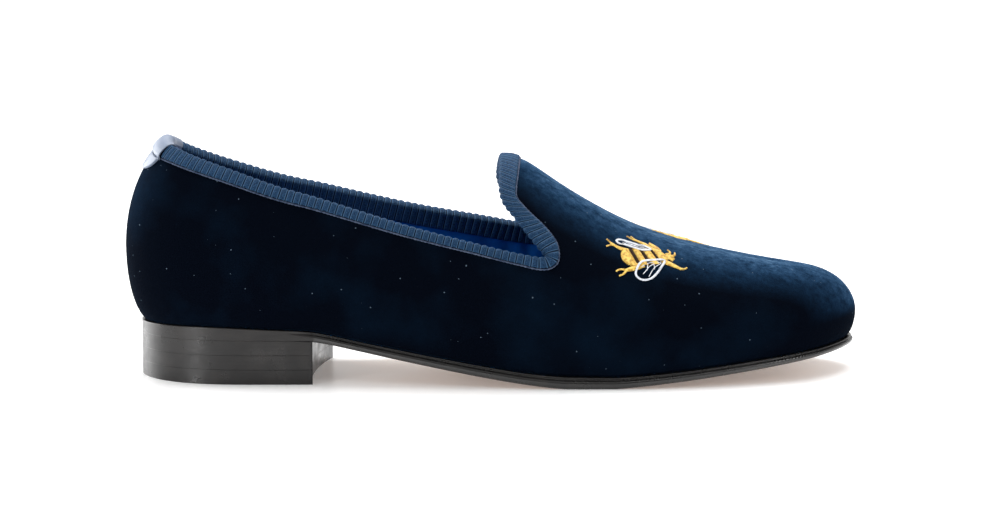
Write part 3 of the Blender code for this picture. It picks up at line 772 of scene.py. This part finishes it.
lift = RIB_HEIGHT * (rib - 0.5) * (RIB_AT_EDGE + (1 - RIB_AT_EDGE) * edge_fade)
middle, half_width = (TAPE_OUT + TAPE_IN) / 2, (TAPE_OUT - TAPE_IN) / 2
reach = np.where(turn < 0, tape_depth_at(tape_place)[:, None], TAPE_LINING_DEPTH)
tape_depth = reach * flat - (TAPE_RISE + lift) * np.cos(arc)
settle = TAPE_SETTLE * np.clip(flat - 0.55, 0, 1) * (turn < 0)
tape_out = middle - (half_width + lift) * np.sin(arc) - settle
tape_skin = on_tape(tape_station, tape_share, tape_depth, tape_out)
tape_uv = np.stack([rib_way, np.broadcast_to(turn * TAPE_HALF_WIDTH, rib_way.shape)], axis=-1)
binding = make_piece(
    "grosgrain_binding", tape_skin, grid_quads(*tape_out.shape), [GROSGRAIN], uv=tape_uv,
)
thicken(binding, TAPE_THICKNESS)
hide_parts("collar_binding")


def rings(side, top, angle):
    """Circles of radius one, or parts of them, about the points of a path, in the plane of two directions
    square to it."""
    return side[..., None, :] * np.cos(angle)[:, None] + top[..., None, :] * np.sin(angle)[:, None]


def carried_tube(path, normal, radius, around):
    """A closed tube along a path: circles in the plane of the path's normal and its cross direction."""
    along = unit(np.gradient(path, axis=0))
    side = unit(np.cross(along, normal))
    angle = np.arange(around) / around * 2 * np.pi
    return path[:, None] + rings(side, np.cross(side, along), angle) * radius[:, None, None]


def cord_material():
    """The binding's corded edge: paler twisted thread."""
    made, tree, bsdf = new_material("edge_cord", Roughness=0.7, Specular_IOR_Level=0.1)
    thread = cloudy(tree, (0.030, 0.045, 0.085), (0.085, 0.110, 0.170), 700.0, 0.35, 0.65)
    give(tree, bsdf, {"Base Color": thread})
    return made


cord_place, cord_way = even_path(*TAPE_ENDS, lambda length: int(length / CORD_TWIST * 6), beside=1.0)
cord_on = topline(cord_place)
cord_depth = tape_depth_at(cord_place)[:, None] + CORD_BELOW_TAPE
cord_line = on_tape(*cord_on, cord_depth, np.full_like(cord_depth, CORD_RADIUS * 0.9))[:, 0]
cord_radius = CORD_RADIUS * (1 + CORD_TURN_DEPTH * np.cos(2 * np.pi * cord_way / CORD_TWIST))
cord_skin = carried_tube(cord_line, surface_normal(*cord_on), cord_radius, CORD_AROUND)
cord_quads = grid_quads(len(cord_place), CORD_AROUND, ring_columns=True)[:, ::-1]
make_piece("binding_edge_cord", cord_skin, cord_quads, [cord_material()])


# Heel tab: smooth navy calf folded over the back of the collar. A rolled band lies over the rim and a flat
# rounded patch below it, with the seam between them pressed in.
TAB_REACH = TAB_END_STATION - 0.03
TAB_BAND_DEPTH = 5.4
TAB_BAND_OUT = 1.85
TAB_PATCH_DEPTH = 14.0  # at the heel's centre line
TAB_PATCH_END_DEPTH = 5.8
TAB_PATCH_STATION = 1.24  # half an ellipse ends here
TAB_LINING_DEPTH = 8.0
TAB_SEAM = 0.35
HIDE_THICKNESS = 0.35
TAB_POINTS = 121


def calf_material():
    """Polished navy calf: faint grain, a soft dressing over it, a little paler where it is stretched. Its
    base colour is a painted reflection: pale grey-blue, far lighter than navy leather.
    """
    made, tree, bsdf = new_material(
        "navy_calf", Roughness=0.5, Specular_IOR_Level=0.4,
        Coat_Weight=0.5, Coat_Roughness=0.4, Coat_IOR=1.5,
    )
    grain = add_node(tree, "TexVoronoi", {"Vector": own_place(tree), "Scale": 1500.0}, feature="SMOOTH_F1")
    give(tree, bsdf, {
        # Painted reflection: the calf is navy, its base colour a pale grey-blue that stands in for the
        # white room mirrored in it.
        "Base Color": cloudy(tree, (0.120, 0.155, 0.225), (0.180, 0.220, 0.300), 120.0, 0.35, 0.75),
        "Normal": raised(tree, grain.outputs["Distance"], 0.12, 0.0001),
    })
    return made


CALF = calf_material()
tab_place, _ = even_path(-TAB_REACH, TAB_REACH, lambda length: TAB_POINTS)
arch = np.sqrt(np.clip(1 - (tab_place / TAB_PATCH_STATION) ** 2, 0, 1))
patch_depth = (TAB_PATCH_END_DEPTH + (TAB_PATCH_DEPTH - TAB_PATCH_END_DEPTH) * arch)[:, None]
TAB_PROFILE = (  # share of the patch's depth, further depth, out
    (1.0, 0.00, 0.10), (1.0, -0.04, 0.55), (1.0, -0.35, 0.90), (0.5, TAB_BAND_DEPTH / 2, 0.95),
    (0.0, TAB_BAND_DEPTH + 0.30, 0.90), (0.0, TAB_BAND_DEPTH + 0.10, TAB_SEAM),
    (0.0, TAB_BAND_DEPTH - 0.25, 1.35), (0.0, TAB_BAND_DEPTH - 0.90, TAB_BAND_OUT),
    (0.0, TAB_BAND_DEPTH / 2, TAB_BAND_OUT + 0.15), (0.0, 0.80, TAB_BAND_OUT),
    (0.0, -0.75, 1.25), (0.0, -1.70, 0.20), (0.0, -2.05, -1.00), (0.0, -1.80, -2.20), (0.0, -0.80, -3.30),
    (0.0, 0.60, -3.80), (0.0, TAB_LINING_DEPTH / 2, -3.70), (0.0, TAB_LINING_DEPTH - 0.2, -3.50),
    (0.0, TAB_LINING_DEPTH, -2.80),
)
knots = np.arange(len(TAB_PROFILE))
fine = np.linspace(0, knots[-1], 6 * knots[-1] + 1)
columns = [smooth_rows(np.interp(fine, knots, column), 3) for column in np.array(TAB_PROFILE).T]
share_of_patch, further, tab_out = columns
tab_depth = share_of_patch * patch_depth + further
tab_out = np.broadcast_to(tab_out, tab_depth.shape)
tab_skin = on_tape(*topline(tab_place), tab_depth, tab_out)
tab = make_piece("calf_heel_tab", tab_skin, grid_quads(*tab_depth.shape), [CALF])
thicken(tab, HIDE_THICKNESS)
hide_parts("heel_tab")


# Outsole: one thickness of sole leather, its edge trimmed, grooved, waxed black and ironed, with a row of
# wheel marks on the welt lip. The underside is left natural tan and buffed.
SOLE_LEDGE_FRONT = 1.7
SOLE_LEDGE_WAIST = 0.5
SOLE_LEDGE_HEEL = 0.9
SOLE_POINTS = 1600
LEDGE_WAIST_X, LEDGE_FRONT_X = -30.0, 30.0
HEEL_BLEND = 10.0  # the sole's edge turns into the heel's this far to each side of the breast
SEAT_TUCK = 0.15
MARK_PITCH = 1.35
MARK_DEPTH = 0.22
MARKS_FROM_X, MARKS_FULL_X = 5.0, 35.0
EDGE_PROFILE = (  # out from the ledge, share of the sole's thickness below its top, part of a wheel mark
    (-3.00, 0.00, 0.0), (-1.10, 0.00, 0.0), (-0.75, 0.00, 0.5), (-0.52, 0.02, 1.0), (-0.45, 0.06, 0.6),
    (-0.55, 0.10, 0.0), (-0.95, 0.14, 0.0), (-1.10, 0.20, 0.0), (-1.00, 0.27, 0.0), (-0.55, 0.31, 0.5),
    (-0.20, 0.34, 1.0), (0.00, 0.39, 1.0), (0.12, 0.46, 0.3), (0.15, 0.56, 0.0), (0.13, 0.68, 0.0),
    (0.05, 0.79, 0.0), (-0.14, 0.89, 0.0), (-0.40, 0.96, 0.0), (-0.70, 1.00, 0.0),
)


def sole_ledge(station):
    """How far the sole stands out beyond the upper's line, and how much a station belongs to the heel:
    smooth steps along x between a lip in front, a close waist, and flush with the lifts behind."""
    x = LINES["x"](station)
    front = ease(x, LEDGE_WAIST_X, LEDGE_FRONT_X)
    back = ease(-x, -BREAST_X - HEEL_BLEND, -BREAST_X + HEEL_BLEND)
    waist_to_front = SOLE_LEDGE_WAIST + (SOLE_LEDGE_FRONT - SOLE_LEDGE_WAIST) * front
    return waist_to_front + (SOLE_LEDGE_HEEL - SOLE_LEDGE_WAIST) * back, back


def wax_group():
    """Fine lines burnished along a waxed edge: noise stretched level, as a height. Patches of dull and
    bright wax give its roughness."""
    inputs, outputs = {"Dull": "Float", "Bright": "Float"}, {"Height": "Float", "Roughness": "Float"}
    group, given, result = new_group("waxed_edge", inputs, outputs)
    dull, bright = given.outputs[:2]
    place = own_place(group)
    level = add_node(group, "Mapping", {"Vector": place, "Scale": (25.0, 25.0, 1500.0)}).outputs["Vector"]
    give(group, result, {
        "Height": noise_over(group, level, 1.0, 3.0),
        "Roughness": spread(group, noise_over(group, place, 160.0, 5.0), 0.35, 0.65, (bright, dull)),
    })
    return group


WAX = wax_group()


def waxed_leather(name, dark, pale, line_strength, polish):
    """Black waxed leather: level burnish lines, patches of dull and bright wax, browner where rubbed."""
    made, tree, bsdf = new_material(name, Specular_IOR_Level=0.45, Coat_Weight=polish, Coat_Roughness=0.1)
    wax = placed(tree, WAX, {"Dull": 0.42, "Bright": 0.24}).outputs
    give(tree, bsdf, {
        "Base Color": cloudy(tree, dark, pale, 140.0, 0.45, 0.8), "Roughness": wax["Roughness"],
        "Normal": raised(tree, wax["Height"], line_strength, 0.00015),
    })
    return made


def tan_leather():
    """Natural sole leather: warm tan, cloudy, with a fine fibrous grain and a light buffed dressing."""
    made, tree, bsdf = new_material("tan_sole_leather", Roughness=0.5, Specular_IOR_Level=0.4)
    give(tree, bsdf, {
        "Base Color": cloudy(tree, (0.34, 0.185, 0.095), (0.42, 0.25, 0.14), 70.0, 0.35, 0.7),
        "Normal": raised(tree, noise_over(tree, own_place(tree), 1300.0, 4.0), 0.3, 0.0002),
    })
    return made


sole_station = np.arange(SOLE_POINTS) / SOLE_POINTS * 2 * LAST_STATION
ledge, at_heel = sole_ledge(sole_station)
sole_line = feather_line(sole_station)
marks = np.clip(np.sin(2 * np.pi * way_along(sole_line) / MARK_PITCH), 0, 1)
marks = marks * np.clip((sole_line[..., 0] - MARKS_FROM_X) / (MARKS_FULL_X - MARKS_FROM_X), 0, 1)
thickness = sole_line[..., 2] - sole_bottom(sole_line[..., 0])
sole_loops = []
for out, depth, mark in reversed(EDGE_PROFILE):
    under_seat = SEAT_TUCK * (depth < 0.02) * at_heel
    loop = outset_line(sole_station, ledge + out * (1 - at_heel) - under_seat)
    loop[..., 2] -= depth * thickness + mark * MARK_DEPTH * marks
    if depth == 1.0:
        loop[..., 2] = sole_bottom(loop[..., 0])
    sole_loops.append(loop)
sole_points, sole_quads = capped_loops(np.array(sole_loops), across=10)
sides = (len(sole_loops) - 1) * SOLE_POINTS
cap = (len(sole_quads) - sides) // 2
edge_finish = np.tile(np.where(at_heel > 0.5, 2, 0), len(sole_loops) - 1)
sole_finish = np.concatenate([edge_finish, np.ones(cap), np.zeros(cap)])
# Over the heel the sole's edge is waxed dull, in one with the lifts.
HEEL_WAX = waxed_leather("waxed_heel_lifts", (0.0075, 0.0066, 0.0066), (0.018, 0.015, 0.014), 0.22, 0.0)
EDGE_WAX = waxed_leather("waxed_sole_edge", (0.007, 0.0065, 0.0065), (0.016, 0.014, 0.013), 0.10, 0.5)
sole = make_piece(
    "leather_sole", sole_points, sole_quads, [EDGE_WAX, tan_leather(), HEEL_WAX],
    which=sole_finish,
)
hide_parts("outsole")


# Heel: three lifts of leather nailed and glued in a stack, rasped flush with the sole and waxed black.
# The breast is cut square and hollow. The lowest lift is the top piece that meets the ground.
TOP_PIECE_HEIGHT = 5.0
LIFT_SEAM_HEIGHT = 10.0
BREAST_SKEW = 5.0
BREAST_HOLLOW = 2.6
HEEL_ARC_POINTS = 180
LIFT_SHARES = (0.0, 0.008, 0.03, 0.08, 0.92, 0.97, 0.992, 1.0)
LIFT_EDGE = 0.04  # the first and last loop of a lift are this far in


def heel_plan():
    """Closed plan of the heel from the medial corner round the back to the lateral corner, then along
    the breast, a parabola hollowed backwards. Both parts have the same number of steps."""
    fine = np.linspace(0, LAST_STATION, 2001)
    lateral_end, medial_end = np.interp([BREAST_X, BREAST_X + BREAST_SKEW], LINES["x"](fine), fine)
    station = np.linspace(-medial_end, lateral_end, HEEL_ARC_POINTS + 1)
    ledge, _ = sole_ledge(station)
    arc = outset_line(station, ledge)[..., :2]
    across = np.linspace(0, 1, HEEL_ARC_POINTS + 1)[1:-1, None]
    breast = arc[-1] + (arc[0] - arc[-1]) * across
    breast[:, 0] -= 4 * BREAST_HOLLOW * (across * (1 - across))[:, 0]
    return np.concatenate([arc, breast])


def lift_piece(name, low, high=None):
    """One lift: its plan at shares of the height from low to high, or up to the sole where high isn't
    given. The edges are eased inwards, so that the seams between lifts show."""
    plan = heel_plan()
    outward = square_out(np.roll(plan, -1, axis=0) - np.roll(plan, 1, axis=0))
    top = sole_bottom(plan[:, 0]) if high is None else np.full(len(plan), high)
    loops = []
    for share in LIFT_SHARES:
        spot = plan - outward * (LIFT_EDGE if share in (0, 1) else 0)
        loops.append(np.column_stack([spot, low + (top - low) * share]))
    points, quads = capped_loops(np.array(loops), across=8)
    return make_piece(name, points, quads, [HEEL_WAX])


LOW_SEAM, HIGH_SEAM = TOP_PIECE_HEIGHT + SEAT_GAP / 2, LIFT_SEAM_HEIGHT + SEAT_GAP / 2
top_piece = lift_piece("heel_top_lift_ground", 0.0, LOW_SEAM)
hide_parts("heel_top_piece")
middle_lift = lift_piece("heel_lift_middle", LOW_SEAM, HIGH_SEAM)
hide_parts("heel_lift")
seat_lift = lift_piece("heel_lift_seat", HIGH_SEAM)
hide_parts("heel_seat_lift")


# Bees: two embroidered figures on the vamp, satin stitch in gold and dark brown silk over padding, with
# wings outlined and veined in white. Each thread lies on the velvet as a low half-round strip.
THREAD_RADIUS = 0.25
THREAD_PITCH = 0.44
THREAD_SINK = 0.05
PAD_MOST = 0.3  # the padding under a short stitch, as a share of its length
PAD_FULLNESS = 0.6
THREAD_STEPS = 6
THREAD_AROUND = 5
VEIN_RADIUS = 0.13
VEIN_CLIMB = 0.45
VEIN_STEPS = 24
VEIN_BEADING, VEIN_BEAD_TURN = 0.25, 2.1
BODY_LEAN = -0.15  # how far the body's stripes slant
WING_REST, WING_SLOPE = 6.2, 0.9  # where a wing comes off the body, and over what length
BEE_STATION, BEE_SHARE = 9.2, 0.6  # about where on the upper a bee lies
BEE_PLACES = (  # a point near the bee's middle, its heading, and which way its upper side lies
    ((52.0, -24.7, 43.4), (0.926, 0.373, -0.055), 1.0),
    ((63.0, 15.7, 42.3), (0.926, -0.373, -0.055), -1.0),
)


def catmull(points, count, ring=False):
    """Evenly numbered points on a smooth curve through the given ones, closed on itself if a ring."""
    p = np.asarray(points, float)
    if ring:
        p = np.concatenate([p[-1:], p, p[:2]])
    else:
        p = np.concatenate([2 * p[:1] - p[1:2], p, 2 * p[-1:] - p[-2:-1]])
    spans = len(p) - 3
    place = np.linspace(0, spans, count, endpoint=not ring)
    k = np.minimum(place.astype(int), spans - 1)
    t = (place - k)[:, None]
    a, b, c, d = p[k], p[k + 1], p[k + 2], p[k + 3]
    return cubic(b, c, (c - a) / 2, (d - b) / 2, t)


def stitched_band(spine, half_width, slant, ring=False):
    """Starts and ends of stitches laid across a spine, a thread's pitch apart: to each side by the half
    width, square to the spine but for the slant."""
    rough = catmull(spine, 200, ring)
    closed = np.concatenate([rough, rough[:1]]) if ring else rough
    way = way_along(closed)
    count = max(int(way[-1] / THREAD_PITCH), 3)
    at = np.linspace(0, way[-1], count, endpoint=not ring)
    middle, ahead, behind = [
        np.stack([np.interp(at + beyond, way, column) for column in closed.T], axis=-1)
        for beyond in (0, 0.05, -0.05)
    ]
    along = unit(ahead - behind + 1e-9)
    side = unit(np.stack([-along[:, 1], along[:, 0]], axis=-1) + slant * along)
    half = np.interp(at / way[-1], np.linspace(0, 1, len(half_width)), half_width)[:, None]
    return np.concatenate([middle - side * half, middle + side * half], axis=1)


def body_band(rear, front, half=3.8):
    """Stitches that run along the body between two slanted lines, each a number or a function of the
    height across the body."""
    rows = np.arange(-half + 0.15, half, THREAD_PITCH)
    ends = [edge(rows) if callable(edge) else edge + BODY_LEAN * rows for edge in (rear, front)]
    return np.stack([ends[0], rows, ends[1], rows], axis=-1)


def round_end(tip, inwards, half):
    """Where the body ends at each height: half an ellipse from its tip."""
    return lambda height: tip + inwards * (1 - np.sqrt(1 - (height / half) ** 2))


BODY_GOLD = (
    body_band(round_end(-9.4, 3.4, 3.9), -4.9), body_band(-3.6, -0.9, half=3.9),
    body_band(0.4, 3.4, half=3.8), body_band(4.5, round_end(8.2, -3.0, 3.7), half=3.6),
)
BODY_DARK = (
    body_band(-4.9, -3.6, half=3.7), body_band(-0.9, 0.4, half=3.8), body_band(3.4, 4.5, half=3.5),
)
LIMB_SPINES = (  # points along it, half widths, slant
    ([(-6.2, 3.0), (-9.2, 4.5), (-11.2, 6.3)], [1.1, 0.8, 0.5], 0.5),
    ([(-10.6, 5.7), (-12.4, 5.4), (-13.4, 5.0)], [0.45, 0.4, 0.3], 0.4),
    ([(-10.9, 5.9), (-11.7, 7.2), (-12.3, 8.1)], [0.4, 0.35, 0.3], 0.4),
    ([(-3.0, -3.6), (-6.5, -5.0), (-9.4, -5.6)], [1.5, 1.2, 0.6], -0.5),
    ([(-9.2, -5.4), (-11.3, -5.0), (-12.8, -5.6)], [0.5, 0.4, 0.3], 0.4),
    ([(-9.2, -5.6), (-10.6, -7.0), (-12.2, -7.6)], [0.5, 0.4, 0.3], 0.4),
    ([(4.6, 3.6), (2.6, 6.6), (-0.4, 8.6)], [1.2, 1.1, 0.6], -0.5),
    ([(-0.2, 8.4), (-1.8, 9.2), (-3.2, 10.6)], [0.5, 0.4, 0.3], 0.4),
    ([(-0.6, 8.9), (-1.2, 10.0), (-1.4, 10.9)], [0.4, 0.35, 0.3], 0.4),
    ([(6.6, 3.4), (6.2, 5.4), (4.6, 7.8)], [1.2, 1.1, 0.7], -0.4),
    ([(7.0, -3.0), (9.0, -4.6), (11.2, -6.4)], [1.4, 1.0, 0.5], 0.5),
    ([(10.9, -6.2), (12.3, -6.4), (13.4, -5.9)], [0.5, 0.4, 0.35], 0.4),
    ([(8.6, -1.5), (9.6, 0.0), (9.2, 1.8)], [1.1, 1.6, 1.1], 0.2),
    ([(9.4, 1.6), (10.6, 2.9), (10.4, 4.4)], [0.45, 0.4, 0.3], 0.3),
    ([(10.4, 0.6), (11.8, 1.4), (12.4, 2.8)], [0.45, 0.4, 0.3], 0.3),
)
LIMBS = [stitched_band(*limb) for limb in LIMB_SPINES]
UPPER_WING = (
    (2.8, 3.3), (0.3, 5.6), (-3.2, 7.2), (-6.9, 8.3), (-8.8, 7.6), (-7.7, 6.0), (-4.2, 4.3), (-0.6, 2.9),
)
LOWER_WING = (
    (6.0, -2.4), (1.5, -2.1), (-2.6, -2.6), (-5.2, -5.2), (-6.2, -8.0), (-4.4, -10.0), (-0.8, -9.4),
    (3.0, -6.2),
)
WING_EDGES = [stitched_band(wing, (0.42, 0.42), 0.3, ring=True) for wing in (UPPER_WING, LOWER_WING)]
WING_VEINS = (
    [(1.6, 3.8), (-2.6, 5.0), (-6.6, 7.2)], [(0.8, 4.6), (-3.0, 6.2), (-5.4, 7.4)],
    [(-2.0, 4.8), (-3.6, 6.6)], [(4.6, -3.0), (0.2, -4.4), (-3.6, -7.6)],
    [(4.4, -3.6), (1.0, -5.6), (-1.8, -8.8)], [(3.6, -2.8), (-0.6, -3.4), (-3.6, -4.8)],
    [(-0.8, -3.6), (-1.6, -6.2)], [(1.6, -3.4), (1.2, -6.0)],
)


def bee_points(flat, middle, heading, mirror):
    """Points on the velvet for points of a flat drawing, and the velvet's normals there. The drawing is
    laid on the tangent plane at the bee's middle and each point dropped to the nearest on the surface."""
    middle, heading = np.array(middle), np.array(heading)
    near = np.array([BEE_STATION * mirror]), np.array([BEE_SHARE])
    start = slide_on_surface(*near, middle[None], rounds=12)
    origin, normal = last_surface(*start)[0], surface_normal(*start)[0]
    along = unit(heading - normal * (heading @ normal))
    across = np.cross(normal, along) * mirror
    target = origin + flat[..., :1] * along + flat[..., 1:2] * across
    on = slide_on_surface(*[np.full(flat.shape[:-1], one[0]) for one in start], target, rounds=8)
    return last_surface(*on), surface_normal(*on)


def over_body(flat, climb):
    """How high a wing's thread climbs where it crosses the bee's padded body."""
    return climb * ease(WING_REST - np.abs(flat[..., 1]), 0.0, WING_SLOPE)


def thread_strips(stitches, place, pad, climb=0.0):
    """Low half-round strips, one for each stitch: a sine arch along it over the padding, and half a circle
    across it that narrows at both ends. Returns points and faces."""
    t = np.linspace(0, 1, THREAD_STEPS + 1)
    start, end = stitches[:, None, :2], stitches[:, None, 2:]
    flat = start + (end - start) * t[None, :, None]
    on, normal = bee_points(flat, *place)
    side = np.cross(unit(np.gradient(on, axis=1)), normal)
    length = np.linalg.norm(stitches[:, 2:] - stitches[:, :2], axis=-1)
    arch = np.minimum(pad, length * PAD_MOST)[:, None] * np.sin(np.pi * t)[None, :] ** PAD_FULLNESS
    ends = np.sqrt(np.clip(np.sin(np.pi * np.clip(t, 0.04, 0.96)) * 3, 0, 1))[:, None, None]
    ring = rings(side, normal, np.linspace(0, np.pi, THREAD_AROUND)) * THREAD_RADIUS * ends
    high = arch - THREAD_SINK + over_body(flat, climb)
    points = on[:, :, None] + ring + (normal * high[..., None])[:, :, None]
    one = grid_quads(THREAD_STEPS + 1, THREAD_AROUND)
    starts = np.arange(len(stitches)) * (THREAD_STEPS + 1) * THREAD_AROUND
    return points.reshape(-1, 3), (one[None] + starts[:, None, None]).reshape(-1, 4)


def vein_strips(lines, place):
    """Single threads couched along curves of the drawing, as low half-round strips with a beaded width."""
    parts = []
    beads = 1 + VEIN_BEADING * np.cos(np.arange(VEIN_STEPS) * VEIN_BEAD_TURN)[:, None, None]
    quads = grid_quads(VEIN_STEPS, THREAD_AROUND)
    for line in lines:
        flat = catmull(line, VEIN_STEPS)
        on, normal = bee_points(flat, *place)
        on = on + normal * over_body(flat, VEIN_CLIMB)[:, None]
        side = np.cross(unit(np.gradient(on, axis=0)), normal)
        ring = rings(side, normal, np.linspace(0, np.pi, THREAD_AROUND))
        parts.append(((on[:, None] + ring * VEIN_RADIUS * beads).reshape(-1, 3), quads))
    return joined(parts)


def joined(parts):
    """Several sets of points and faces as one."""
    starts = np.cumsum([0] + [len(points) for points, _ in parts[:-1]])
    return (
        np.concatenate([points for points, _ in parts]),
        np.concatenate([quads + start for (_, quads), start in zip(parts, starts)]),
    )


def silk_material(name, colour, shade, sheen=0.3):
    """Embroidery silk: glossy along the thread, a little uneven in tone from stitch to stitch."""
    made, tree, bsdf = new_material(
        name, Roughness=0.42, Specular_IOR_Level=0.5 * sheen / 0.3, Sheen_Weight=sheen, Sheen_Roughness=0.4,
    )
    give(tree, bsdf, {"Base Color": cloudy(tree, shade, colour, 1000.0, 0.36, 0.6)})
    return made


def bee_threads(place):
    """One bee's gold, dark and white threads, padded least where they lie lowest."""
    gold = [thread_strips(band, place, 0.55) for band in BODY_GOLD]
    gold += [thread_strips(limb, place, 0.30) for limb in LIMBS]
    dark = [thread_strips(band, place, 0.40) for band in BODY_DARK]
    white = [thread_strips(edge, place, 0.75, climb=0.6) for edge in WING_EDGES]
    return gold, dark, white + [vein_strips(WING_VEINS, place)]


SILKS = (
    ("bee_gold_silk", silk_material("gold_silk", (0.90, 0.62, 0.12), (0.50, 0.26, 0.02))),
    ("bee_dark_silk", silk_material("dark_silk", (0.040, 0.018, 0.010), (0.018, 0.009, 0.006), sheen=0.06)),
    ("bee_white_silk", silk_material("white_silk", (0.82, 0.84, 0.88), (0.62, 0.65, 0.72))),
)
bees = [bee_threads(place) for place in BEE_PLACES]
for (name, silk), threads in zip(SILKS, zip(*bees)):
    silk_points, silk_quads = joined(sum(threads, []))
    make_piece(name, silk_points, silk_quads, [silk], merge=False)
